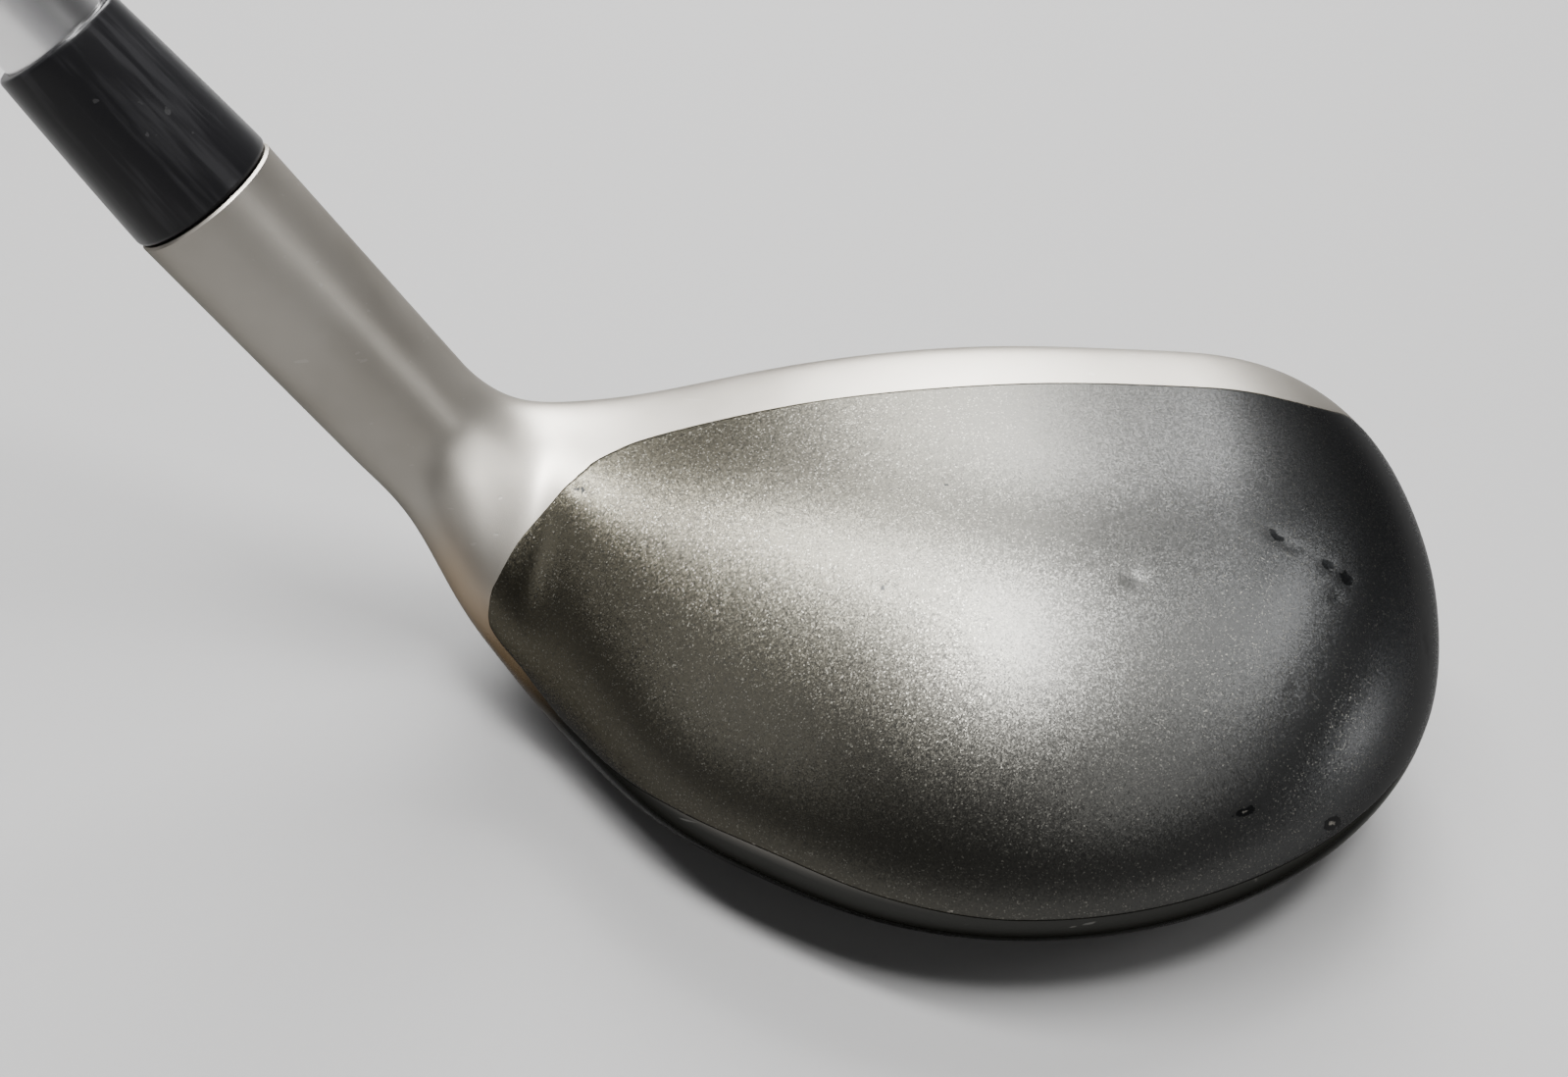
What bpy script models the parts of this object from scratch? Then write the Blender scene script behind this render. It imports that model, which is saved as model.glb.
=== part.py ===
"""A hybrid golf club at address: a hollow cast head with a painted crown, a glued-in stepped steel
shaft and a slip-on rubber grip.

Sizes are millimetres here and metres in the meshes. +Z is up, +X runs from heel to toe and +Y points
at the target. The ground is z = 0 and the origin is the middle of the flat rest patch of the sole.
"""

import math

import bmesh
import bpy
import numpy as np

MM = 0.001
ROUND_STEPS = 32

# --- driving sizes --------------------------------------------------------------------------------
CLUB_LENGTH = 1016.0
LIE_ANGLE = math.radians(60.0)
LOFT_ANGLE = math.radians(19.0)

HEAD_HEIGHT = 37.0
HEAD_BREADTH = 46.2
FACE_LEAD = 18.6
SHAFT_AXIS_X = -33.0
TOE_X = 45.6
TOE_Y = -11.5
TOE_Z = 17.0
REST_X = 1.0
REST_Y = 4.0
WALL_FRONT_SHIFT = 0.8

HOSEL_RADIUS = 6.8
NECK_FLARE = 0.05
NECK_FILLET = 12.0
HOSEL_TOP_Z = 57.0
HOSEL_CHAMFER = 0.35

CROWN_THICKNESS = 0.8
CROWN_LEDGE = 4.5
FACE_THICKNESS = 2.2
FACE_LEDGE = 4.0
SEAT_GAP = 0.3
EDGE_GAP = 0.2
SCORE_LINES = 6
SCORE_PITCH = 3.6
SCORE_WIDTH = 0.9
SCORE_DEPTH = 0.4

SCREW_X = 3.0
SCREW_Y = -15.0
SCREW_RADIUS = 6.0
SCREW_LENGTH = 4.8
SCREW_FACE_Z = 1.5
SOCKET_RADIUS = 2.9
SOCKET_DEPTH = 3.0
BOSS_WALL = 2.6

TIP_RADIUS = 4.7
GLUE_THICKNESS = 0.1
GLUE_GAP = 0.03
BORE_DEPTH = 33.0
PLUG_LENGTH = 4.0
FERRULE_LENGTH = 16.0
FERRULE_TOP_WALL = 0.9
FERRULE_CHAMFER = 0.5

BUTT_WALL = 0.38
TIP_WALL = 0.55
BUTT_RADIUS = 7.62
STEP_COUNT = 15
FIRST_STEP = 200.0
LAST_STEP_GAP = 16.0
STEP_RAMP = 1.6
TIP_WEIGHT_LENGTH = 18.0
BAND_MARGIN = 0.75
BAND_THICKNESS = 0.08
SLIP_GAP = 0.04

GRIP_LENGTH = 267.0
TAPE_THICKNESS = 0.15
GRIP_MOUTH_WALL = 2.0
GRIP_BUTT_WALL = 5.6
CAP_RADIUS = 15.8
CAP_THICKNESS = 4.0
CAP_HOLE_RADIUS = 1.6
CAP_PLUG_LENGTH = 9.0

# --- the outline of the head, as curves along X ---------------------------------------------------
# Each pair is an X and a share of HEAD_HEIGHT, FACE_LEAD or HEAD_BREADTH.
TOP_LINE = ((-37, 0.843), (-34.5, 0.844), (-20, 0.914), (-8, 0.973), (5, 1.0), (18, 0.989), (30, 0.984),
            (46, 0.989))
LEAD_LINE = ((-37, 0.775), (-30, 0.84), (-20, 0.925), (0, 1.0), (20, 0.978), (46, 0.86))
BACK_LINE = ((-37, -0.485), (-30, -0.655), (-20, -0.812), (-8, -0.934), (4, -0.978), (16, -0.988), (46, -0.963))
# Each pair is an X and a height.
EDGE_LINE = ((-37, 13.0), (0, 14.0), (46, 15.0))
SOLE_LINE = ((-37, 2.6), (-15, 0.25), (0, -0.2), (20, 0.4), (46, 4.0))
# Each pair is an angle round the neck in degrees and a share of the radius or half width.
NECK_BACK = ((0, 1.0), (12, 0.66), (24, 0.645), (36, 0.635), (48, 0.40), (60, 0.0))
NECK_FRONT = ((0, 1.0), (20, 0.69), (40, 0.18), (60, 0.0))
NECK_OUTER = ((0, 1.0), (6, 0.95), (15, 0.77), (30, 0.41), (45, 0.13), (60, 0.0))

# The painted crown, from the heel tip on. The first number is the root of the distance from the tip.
CROWN_TIP = -21.0
CROWN_TOE = 87.5
CROWN_FRONT = ((0, 5.55), (0.6, 5.34), (1, 5.05), (1.8, 4.43), (2.6, 3.92), (3.3, 3.48), (4.1, 2.99),
               (4.4, 2.845), (4.58, 2.74), (4.7, 2.478), (4.8, 2.317), (5.0, 2.063), (5.3, 1.875),
               (5.6, 1.774), (6.2, 1.65), (6.9, 1.592), (7.8, 1.525), (8.6, 1.53), (8.8, 1.48), (9.0, 1.31),
               (9.2, 0.92), (9.43, 0.45), (9.95, -0.7), (10.5, -1.6))
CROWN_BACK = ((0, 5.55), (0.6, 5.86), (1, 6.14), (1.5, 6.33), (2.2, 6.38), (3.3, 6.27), (4.2, 6.25),
              (4.8, 6.16), (5.3, 5.99), (5.8, 5.94), (6.4, 6.02), (7, 6.1), (8.5, 6.05), (10.5, 6.05))

SIDE_COUNT = 16
CIRCLE_PULL = (2 + math.cos(2 * math.pi / SIDE_COUNT)) / 3


def curve(knots, tight=False):
    """A smooth curve through the knots. A tight one never overshoots them, but bends less evenly."""
    x, value = np.array(knots, float).T
    step = np.diff(x)
    slope = np.diff(value) / step
    count = len(x)
    links = np.zeros((count, count))
    wanted = np.zeros(count)
    links[0, :2] = (2, 1)
    links[-1, -2:] = (1, 2)
    wanted[0] = 3 * slope[0]
    wanted[-1] = 3 * slope[-1]
    for i in range(1, count - 1):
        links[i, i - 1 : i + 2] = (1 / step[i - 1], 2 / step[i - 1] + 2 / step[i], 1 / step[i])
        wanted[i] = 3 * (slope[i - 1] / step[i - 1] + slope[i] / step[i])
    tangent = np.linalg.solve(links, wanted)
    if tight:
        tangent = np.zeros(count)
        tangent[0] = slope[0]
        tangent[-1] = slope[-1]
        for i in range(1, count - 1):
            if slope[i - 1] * slope[i] > 0:
                near = 2 * step[i] + step[i - 1]
                far = step[i] + 2 * step[i - 1]
                tangent[i] = (near + far) / (near / slope[i - 1] + far / slope[i])

    def value_at(at):
        at = min(max(at, x[0]), x[-1])
        i = min(max(int(np.searchsorted(x, at)) - 1, 0), len(step) - 1)
        t = (at - x[i]) / step[i]
        return (
            (2 * t**3 - 3 * t**2 + 1) * value[i]
            + (t**3 - 2 * t**2 + t) * step[i] * tangent[i]
            + (3 * t**2 - 2 * t**3) * value[i + 1]
            + (t**3 - t**2) * step[i] * tangent[i + 1]
        )

    return value_at


top_at = curve(TOP_LINE)
lead_at = curve(LEAD_LINE)
back_at = curve(BACK_LINE)
edge_at = curve(EDGE_LINE)
sole_at = curve(SOLE_LINE)
neck_back_at = curve(NECK_BACK)
neck_front_at = curve(NECK_FRONT)
neck_outer_at = curve(NECK_OUTER)
crown_front_at = curve(CROWN_FRONT, tight=True)
crown_back_at = curve(CROWN_BACK, tight=True)

# The head turns into the hosel round a pivot line above the neck, parallel to Y.
NECK_RADIUS = HOSEL_RADIUS + NECK_FLARE
NECK_TURN = math.degrees(LIE_ANGLE)
PIVOT_Z = top_at(SHAFT_AXIS_X) * HEAD_HEIGHT + NECK_FILLET
PIVOT_X = (
    SHAFT_AXIS_X
    + (NECK_FILLET + NECK_RADIUS - PIVOT_Z * math.cos(LIE_ANGLE)) / math.sin(LIE_ANGLE)
)
HEAD_REACH = TOE_X - PIVOT_X
AXIS = np.array([-math.cos(LIE_ANGLE), 0.0, math.sin(LIE_ANGLE)])
AXIS_SIDE = np.array([math.sin(LIE_ANGLE), 0.0, math.cos(LIE_ANGLE)])
AXIS_FRONT = np.array([0.0, 1.0, 0.0])
HOSEL_TOP = HOSEL_TOP_Z / math.sin(LIE_ANGLE)
NECK_END_Z = PIVOT_Z - (NECK_FILLET + NECK_RADIUS) * math.cos(LIE_ANGLE)
HOSEL_RUN = (HOSEL_TOP_Z - NECK_END_Z) / math.sin(LIE_ANGLE)


def rounding(share, power):
    return (1 - min(max(share, 0.0), 1.0) ** power) ** 0.5


def head_section(x):
    """Sixteen control points, as (y, z), from the top line over the crown and round by the sole."""
    top = top_at(x) * HEAD_HEIGHT
    lead = lead_at(x) * FACE_LEAD
    back = back_at(x) * HEAD_BREADTH
    edge = edge_at(x)
    sole = sole_at(x)
    face_foot = sole + 3.0
    face_top = lead - (top - face_foot) * math.tan(LOFT_ANGLE)
    points = [(face_top, top), (face_top - 2.8, top + 0.9)]
    for share in (0.22, 0.45, 0.68, 0.88):
        height = top + 1.6 * math.sin(math.pi * min(share * 1.6, 1)) - edge
        points.append((face_top + (back - face_top) * share, edge + height * (1 - share**2.1) ** 0.62))
    points.append((back - 0.3, edge + 1.5))
    points.append((back + 1.5, edge - 5.0))
    for share in (0.78, 0.5, 0.2):
        rise = (edge - 6 - sole) * max(0.0, (share - 0.25) / 0.75) ** 2.2
        points.append((lead - 6 + (back - lead + 6) * share, sole + rise))
    points.append((lead - 4.5, sole - 0.1))
    points.append((lead + 0.3, face_foot - 1.6))
    for share in (0.2, 0.5, 0.82):
        points.append((lead + (face_top - lead) * share, face_foot + (top - face_foot) * share))
    section = np.array(points)
    front = rounding((x - 17) / (TOE_X - 17), 2.5)
    behind = rounding((x + 2) / (TOE_X + 2), 2.2)
    upright = rounding((x - 22) / (TOE_X - 22), 2.4)
    section[:, 0] = TOE_Y + (section[:, 0] - TOE_Y) * np.where(section[:, 0] > TOE_Y, front, behind)
    section[:, 1] = TOE_Z + (section[:, 1] - TOE_Z) * upright
    return section


def round_section(radius):
    turn = np.radians(45 + 360 / SIDE_COUNT * np.arange(SIDE_COUNT))
    centre = PIVOT_Z - NECK_FILLET - NECK_RADIUS
    return np.stack([radius / CIRCLE_PULL * np.cos(turn), centre + radius / CIRCLE_PULL * np.sin(turn)], 1)


def neck_section(angle):
    """Between the head's first section and a circle, as the neck turns up into the hosel."""
    section = head_section(PIVOT_X)
    half = np.where(
        section[:, 0] < 0,
        NECK_RADIUS / -back_at(PIVOT_X) / HEAD_BREADTH,
        NECK_RADIUS / lead_at(PIVOT_X) / FACE_LEAD,
    )
    share = np.where(section[:, 0] < 0, neck_back_at(angle), neck_front_at(angle))
    section[:, 0] *= half + (1 - half) * share
    depth = PIVOT_Z - section[:, 1]
    first = depth.max() - NECK_FILLET
    wanted = 2 * NECK_RADIUS + (first - 2 * NECK_RADIUS) * neck_outer_at(angle)
    section[:, 1] = PIVOT_Z - NECK_FILLET - (depth - NECK_FILLET) * wanted / first
    share = angle / NECK_TURN
    share = share * share * (3 - 2 * share)
    return (1 - share) * section + share * round_section(NECK_RADIUS)


def skin(station, side):
    """Points of the head's outside. A station over 0 is an angle to the toe, one under 0 goes up the neck."""
    if station >= 0:
        x = PIVOT_X + HEAD_REACH * math.sin(math.radians(min(station, 90)))
        section = head_section(x)
    elif station >= -NECK_TURN:
        section = neck_section(-station)
    else:
        share = min((-NECK_TURN - station) / HOSEL_RUN, 1)
        section = round_section(NECK_RADIUS + (HOSEL_RADIUS - NECK_RADIUS) * share)
    side = np.asarray(side, float)
    index = np.floor(side).astype(int)
    t = (side - index)[:, None]
    a, b, c, d = (section[(index + k) % SIDE_COUNT] for k in (-1, 0, 1, 2))
    flat = (
        (1 - t) ** 3 * a
        + (3 * t**3 - 6 * t**2 + 4) * b
        + (-3 * t**3 + 3 * t**2 + 3 * t + 1) * c
        + t**3 * d
    ) / 6
    if station >= 0:
        return np.stack([np.full(len(side), x), flat[:, 0], flat[:, 1]], 1)
    turn = math.radians(min(-station, NECK_TURN))
    reach = PIVOT_Z - flat[:, 1]
    points = np.stack(
        [PIVOT_X - reach * math.sin(turn), flat[:, 0], PIVOT_Z - reach * math.cos(turn)], 1
    )
    return points + max(0.0, -NECK_TURN - station) * AXIS


def outward(station, side):
    """Unit normals of the skin, and its speed along the two directions."""
    side = np.asarray(side, float)
    station = min(station, 89.0)
    along = (skin(station + 0.2, side) - skin(station - 0.2, side)) / 0.4
    across = (skin(station, side + 0.02) - skin(station, side - 0.02)) / 0.04
    normal = np.cross(across, along)
    normal /= np.linalg.norm(normal, axis=1)[:, None]
    return normal, np.linalg.norm(along, axis=1), np.linalg.norm(across, axis=1)


def lifted(station, side, height):
    return skin(station, side) + outward(station, side)[0] * np.asarray(height, float).reshape(-1, 1)


# --- making meshes --------------------------------------------------------------------------------
def finish(name, points, faces, material, hidden=False):
    mesh = bpy.data.meshes.new(name)
    moved = (np.asarray(points, float) - (REST_X, REST_Y, 0)) * MM
    mesh.from_pydata(moved.tolist(), [], faces)
    work = bmesh.new()
    work.from_mesh(mesh)
    bmesh.ops.recalc_face_normals(work, faces=work.faces)
    bmesh.ops.triangulate(work, faces=[f for f in work.faces if len(f.verts) > 4])
    work.to_mesh(mesh)
    work.free()
    mesh.shade_smooth()
    mesh.set_sharp_from_angle(angle=math.radians(32))
    obj = bpy.data.objects.new(name, mesh)
    bpy.context.scene.collection.objects.link(obj)
    if hidden:
        obj.hide_render = True
        obj.display_type = "WIRE"
    else:
        obj.data.materials.append(material)
    return obj


def made_of(name, colour, roughness, metallic):
    material = bpy.data.materials.new(name)
    material.use_nodes = True
    shader = material.node_tree.nodes["Principled BSDF"]
    shader.inputs["Base Color"].default_value = (*colour, 1)
    shader.inputs["Roughness"].default_value = roughness
    shader.inputs["Metallic"].default_value = metallic
    material.diffuse_color = (*colour, 1)
    return material


def sheet_faces(rows, columns):
    """Top and bottom sheets of one grid, joined round the edge. The bottom follows the top."""
    faces = []
    under = rows * columns
    for i in range(rows - 1):
        for j in range(columns - 1):
            a = i * columns + j
            faces.append((a, a + 1, a + columns + 1, a + columns))
            faces.append((under + a, under + a + columns, under + a + columns + 1, under + a + 1))
    edge = [j for j in range(columns)]
    edge += [i * columns + columns - 1 for i in range(1, rows)]
    edge += [(rows - 1) * columns + j for j in range(columns - 2, -1, -1)]
    edge += [i * columns for i in range(rows - 2, 0, -1)]
    for a, b in zip(edge, edge[1:] + edge[:1]):
        faces.append((a, b, under + b, under + a))
    return faces


def plate(name, stations, low, high, shares, above, below, material, hidden=False):
    """A piece of the skin between two side curves, from `above` over the skin to `below` under it."""
    top = []
    bottom = []
    for station in stations:
        side = low(station) + (high(station) - low(station)) * np.asarray(shares)
        top.append(lifted(station, side, above(station, side)))
        bottom.append(lifted(station, side, np.full(len(side), -below)))
    points = np.concatenate(top + bottom)
    return finish(name, points, sheet_faces(len(stations), len(shares)), material, hidden)


def rings(name, rows, start, end, material, hidden=False):
    """Rows of points joined into a tube. An end is a point that closes it."""
    count = len(rows[0])
    points = np.concatenate([*rows, [start], [end]])
    faces = []
    for i in range(len(rows) - 1):
        for j in range(count):
            a = i * count + j
            b = i * count + (j + 1) % count
            faces.append((a, b, b + count, a + count))
    last = (len(rows) - 1) * count
    for j in range(count):
        k = (j + 1) % count
        faces.append((k, j, len(rows) * count))
        faces.append((last + j, last + k, len(rows) * count + 1))
    return finish(name, points, faces, material, hidden)


def on_axis(along, radius, turn=0.0):
    """A point a distance up the shaft axis from the ground, a radius away from it."""
    ground = np.array([SHAFT_AXIS_X, 0.0, 0.0])
    return ground + AXIS * along + radius * (math.cos(turn) * AXIS_SIDE + math.sin(turn) * AXIS_FRONT)


def turned(name, profile, material, hidden=False, frame=None, steps=ROUND_STEPS):
    """A profile of (distance, radius) turned round the shaft axis, or round an upright line at `frame`.

    A profile that begins and ends at radius 0 is a solid. Any other one is a closed loop, so a tube.
    """
    points = []
    rows = []
    for along, radius in profile:
        row = []
        for k in range(1 if radius == 0 else steps):
            turn = 2 * math.pi * k / steps
            row.append(len(points))
            if frame:
                points.append((frame[0] + radius * math.cos(turn), frame[1] + radius * math.sin(turn), along))
            else:
                points.append(on_axis(along, radius, turn))
        rows.append(row)
    if profile[0][1] != 0:
        rows.append(rows[0])
    faces = []
    for one, two in zip(rows, rows[1:]):
        for k in range(steps):
            quad = [one[k % len(one)], one[(k + 1) % len(one)], two[(k + 1) % len(two)], two[k % len(two)]]
            faces.append(tuple(dict.fromkeys(quad)))
    return finish(name, points, faces, material, hidden)


def cut(body, cutter, operation="DIFFERENCE"):
    modifier = body.modifiers.new(cutter.name, "BOOLEAN")
    modifier.operation = operation
    modifier.solver = "EXACT"
    modifier.object = cutter


for old in list(bpy.data.objects):
    bpy.data.objects.remove(old, do_unlink=True)

cast_steel = made_of("cast_steel", (0.56, 0.53, 0.48), 0.32, 1.0)
face_steel = made_of("face_steel", (0.50, 0.49, 0.47), 0.38, 1.0)
crown_paint = made_of("crown_paint", (0.055, 0.055, 0.052), 0.34, 0.55)
screw_steel = made_of("screw_steel", (0.42, 0.42, 0.42), 0.34, 1.0)
resin = made_of("resin", (0.74, 0.68, 0.50), 0.45, 0.0)
nylon = made_of("nylon", (0.80, 0.79, 0.75), 0.50, 0.0)
brass = made_of("brass", (0.72, 0.55, 0.26), 0.30, 1.0)
epoxy = made_of("epoxy", (0.66, 0.58, 0.36), 0.35, 0.0)
ferrule_plastic = made_of("ferrule_plastic", (0.012, 0.012, 0.013), 0.18, 0.0)
shaft_chrome = made_of("shaft_chrome", (0.74, 0.74, 0.75), 0.12, 1.0)
band_film = made_of("band_film", (0.05, 0.05, 0.055), 0.30, 0.0)
tape_paper = made_of("tape_paper", (0.82, 0.78, 0.66), 0.80, 0.0)
grip_rubber = made_of("grip_rubber", (0.022, 0.022, 0.023), 0.62, 0.0)
cap_rubber = made_of("cap_rubber", (0.018, 0.018, 0.019), 0.55, 0.0)


# --- the cast body: hosel, face frame, skirt and sole in one piece ----------------------------------
HEAD_SIDES = 48
hosel_stations = [-NECK_TURN - HOSEL_RUN + HOSEL_CHAMFER, -NECK_TURN - HOSEL_RUN / 2]
neck_stations = list(np.linspace(-NECK_TURN, 0, 15)[:-1])
head_stations = list(np.linspace(0, 60, 15)) + [65, 70, 75, 80, 84, 87.5]
sides = np.arange(HEAD_SIDES) * SIDE_COUNT / HEAD_SIDES
rows = [skin(station, sides) for station in hosel_stations + neck_stations + head_stations]
mouth = on_axis(HOSEL_TOP, 0)
chamfered = mouth + (rows[0] - on_axis(HOSEL_TOP - HOSEL_CHAMFER, 0)) * (1 - HOSEL_CHAMFER / HOSEL_RADIUS)
toe_tip = skin(90, [0.0])[0]
head_body = rings("head_body", [chamfered, *rows], mouth, toe_tip, cast_steel)

# The hollow is the head's own shape drawn in towards a point, and moved back for a thicker front.
HOLLOW_CENTRE = np.array([2.0, -13.0, 17.3])
HOLLOW_SHARE = np.array([0.95, 0.905, 0.895])


def hollow(station, side):
    drawn = HOLLOW_CENTRE + (skin(station, side) - HOLLOW_CENTRE) * HOLLOW_SHARE
    return drawn - (0, WALL_FRONT_SHIFT, 0)


hollow_sides = np.arange(24) * SIDE_COUNT / 24
hollow_stations = [4, 8, 13, 18, 24, 30, 36, 42, 48, 54, 60, 66, 72, 78, 84]
hollow_rows = [hollow(station, hollow_sides) for station in hollow_stations]
hollow_cutter = rings(
    "hollow_cutter",
    hollow_rows,
    hollow_rows[0].mean(axis=0),
    hollow(90, [0.0])[0],
    None,
    hidden=True,
)
cut(head_body, hollow_cutter)


# --- the crown plate, its seat and the opening under it ---------------------------------------------
def crown_side(station, knots_at, inset):
    root = math.sqrt(max(station - CROWN_TIP, 0))
    side = knots_at(root)
    return side + inset / outward(station, [side])[2][0]


def crown_limits(inset):
    """The front and back edges of the crown, drawn in by `inset` along the skin, and its stations."""
    tip_speed = outward(CROWN_TIP, [CROWN_FRONT[0][1]])[1][0]
    shift = inset / tip_speed
    reach = math.sqrt(CROWN_TOE - CROWN_TIP)
    roots = np.linspace(0.45, reach, 30)
    stations = [CROWN_TIP + shift + root * root * (1 - shift / reach**2) for root in roots]
    stations[-1] -= inset / 0.9

    def low(station):
        return crown_side(station - shift, crown_front_at, inset)

    def high(station):
        return crown_side(station - shift, crown_back_at, -inset)

    return stations, low, high


def level(height):
    return lambda station, side: np.full(len(side), height)


crown_shares = np.linspace(0, 1, 15)
stations, low, high = crown_limits(EDGE_GAP)
plate("crown_plate", stations, low, high, crown_shares, level(0.0), CROWN_THICKNESS, crown_paint)

stations, low, high = crown_limits(0.0)
crown_seat = plate(
    "crown_seat_cutter",
    stations,
    low,
    high,
    crown_shares,
    level(1.2),
    CROWN_THICKNESS + SEAT_GAP,
    None,
    hidden=True,
)
cut(head_body, crown_seat)

opening_stations = np.linspace(2, 66, 12)


def opening_low(station):
    return crown_side(station, crown_front_at, CROWN_LEDGE)


def opening_high(station):
    return crown_side(station, crown_back_at, -CROWN_LEDGE - 3.0)


crown_opening = plate(
    "crown_opening_cutter",
    opening_stations,
    opening_low,
    opening_high,
    np.linspace(0, 1, 9),
    level(-CROWN_THICKNESS / 2),
    CROWN_THICKNESS + 5.0,
    None,
    hidden=True,
)
cut(head_body, crown_opening)

# --- the face plate, welded into a seat, with its score lines ---------------------------------------
FACE_HEEL = 9.0
FACE_TOE = 66.0
FACE_LOW = 12.85
FACE_HIGH = 15.2
face_middle = (FACE_LOW + FACE_HIGH) / 2


def face_limits(inset):
    """The plate's outline: level in the middle, with round corners at both ends."""
    speed = outward(35.0, [face_middle])
    reach = (FACE_TOE - FACE_HEEL) / 2 - inset / speed[1][0]
    half_height = (FACE_HIGH - FACE_LOW) / 2 - inset / speed[2][0]
    centre = (FACE_HEEL + FACE_TOE) / 2
    turns = np.linspace(-0.5 * math.pi, 0.5 * math.pi, 17)
    stations = [centre + reach * math.sin(turn) for turn in turns]

    def half(station):
        share = max(0.0, (abs(station - centre) / reach - 0.62) / 0.38)
        return half_height * (0.35 + 0.65 * max(0.0, 1 - share**2.4) ** 0.5)

    return stations, lambda station: face_middle - half(station), lambda station: face_middle + half(station)


face_speed = outward(35.0, [face_middle])[2][0]
face_half = (FACE_HIGH - FACE_LOW) / 2 - EDGE_GAP / face_speed
score_shares = [0.0]
score_floor = [False]
for line in range(SCORE_LINES):
    middle = 0.5 + (line - (SCORE_LINES - 1) / 2) * SCORE_PITCH / (2 * face_half * face_speed)
    for offset, deep in ((-0.5, False), (-0.25, True), (0.25, True), (0.5, False)):
        score_shares.append(middle + offset * SCORE_WIDTH / (2 * face_half * face_speed))
        score_floor.append(deep)
score_shares.append(1.0)
score_floor.append(False)
score_floor = np.array(score_floor)


def scored(station, side):
    """Level with the skin, but for the score lines across the middle of the face."""
    scored_here = 21.0 < station < 51.0
    return np.where(score_floor & scored_here, -SCORE_DEPTH, 0.0)


stations, low, high = face_limits(EDGE_GAP)
plate("face_plate", stations, low, high, score_shares, scored, FACE_THICKNESS, face_steel)

face_shares = np.linspace(0, 1, 9)
stations, low, high = face_limits(0.0)
face_seat = plate(
    "face_seat_cutter",
    stations,
    low,
    high,
    face_shares,
    level(1.0),
    FACE_THICKNESS + SEAT_GAP,
    None,
    hidden=True,
)
cut(head_body, face_seat)
stations, low, high = face_limits(FACE_LEDGE)
face_opening = plate(
    "face_opening_cutter",
    stations,
    low,
    high,
    face_shares,
    level(-FACE_THICKNESS / 2),
    FACE_THICKNESS + 3.5,
    None,
    hidden=True,
)
cut(head_body, face_opening)

# --- the weight screw and its boss in the sole ------------------------------------------------------
screw_frame = (SCREW_X, SCREW_Y)
screw_top = SCREW_FACE_Z + SCREW_LENGTH
pocket_top = screw_top + SEAT_GAP
pocket_radius = SCREW_RADIUS + EDGE_GAP
boss_radius = pocket_radius + BOSS_WALL
boss_top = pocket_top + BOSS_WALL
boss = turned(
    "boss_shape",
    [(SCREW_FACE_Z, 0), (SCREW_FACE_Z, boss_radius), (boss_top, boss_radius), (boss_top, 0)],
    None,
    hidden=True,
    frame=screw_frame,
)
cut(head_body, boss, "UNION")
pocket = turned(
    "pocket_cutter",
    [(-3.0, 0), (-3.0, pocket_radius), (pocket_top, pocket_radius), (pocket_top, 0)],
    None,
    hidden=True,
    frame=screw_frame,
)
cut(head_body, pocket)
weight_screw = turned(
    "weight_screw",
    [
        (SCREW_FACE_Z, 0),
        (SCREW_FACE_Z, SCREW_RADIUS - 0.4),
        (SCREW_FACE_Z + 0.4, SCREW_RADIUS),
        (screw_top - 0.4, SCREW_RADIUS),
        (screw_top, SCREW_RADIUS - 0.4),
        (screw_top, 0),
    ],
    screw_steel,
    frame=screw_frame,
)
socket = turned(
    "socket_cutter",
    [
        (SCREW_FACE_Z - 1.0, 0),
        (SCREW_FACE_Z - 1.0, SOCKET_RADIUS),
        (SCREW_FACE_Z + SOCKET_DEPTH, SOCKET_RADIUS),
        (SCREW_FACE_Z + SOCKET_DEPTH + 0.6, 0),
    ],
    None,
    hidden=True,
    frame=screw_frame,
    steps=6,
)
cut(weight_screw, socket)

# --- the flat rest patch of the sole ----------------------------------------------------------------
ground_points = [(x, y, z) for x in (-90.0, 90.0) for y in (-90.0, 90.0) for z in (-20.0, 0.0)]
ground_faces = [(0, 1, 3, 2), (4, 6, 7, 5), (0, 4, 5, 1), (2, 3, 7, 6), (0, 2, 6, 4), (1, 5, 7, 3)]
cut(head_body, finish("ground_cutter", ground_points, ground_faces, None, hidden=True))

# --- resin poured inside the head, on the sole's heel side ------------------------------------------
resin_stations = np.linspace(10, 21, 9)
resin_sides = np.linspace(8.7, 11.0, 9)
resin_top = []
resin_bottom = []
for i, station in enumerate(resin_stations):
    floor = hollow(station, resin_sides)
    swell = math.sin(math.pi * i / 8) * np.sin(math.pi * np.arange(9) / 8)
    up = np.zeros_like(floor)
    up[:, 2] = 1.1 + 2.2 * np.sqrt(np.maximum(swell, 0))
    resin_top.append(floor + up)
    resin_bottom.append(floor + (0, 0, 0.7))
finish("damping_resin", np.concatenate(resin_top + resin_bottom), sheet_faces(9, 9), resin)

# --- the bore of the hosel, and what is glued into it -----------------------------------------------
glue_inside = TIP_RADIUS + GLUE_GAP
glue_outside = glue_inside + GLUE_THICKNESS
bore_radius = glue_outside + GLUE_GAP
bore_floor = HOSEL_TOP - BORE_DEPTH
bore = turned(
    "bore_cutter",
    [(bore_floor, 0), (bore_floor, bore_radius), (HOSEL_TOP + 1, bore_radius), (HOSEL_TOP + 1, 0)],
    None,
    hidden=True,
)
cut(head_body, bore)

plug_top = bore_floor + SEAT_GAP + PLUG_LENGTH
turned(
    "tip_plug",
    [
        (bore_floor + SEAT_GAP, 0),
        (bore_floor + SEAT_GAP, TIP_RADIUS - 0.5),
        (bore_floor + SEAT_GAP + 0.5, TIP_RADIUS),
        (plug_top, TIP_RADIUS),
        (plug_top, 0),
    ],
    nylon,
)

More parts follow.
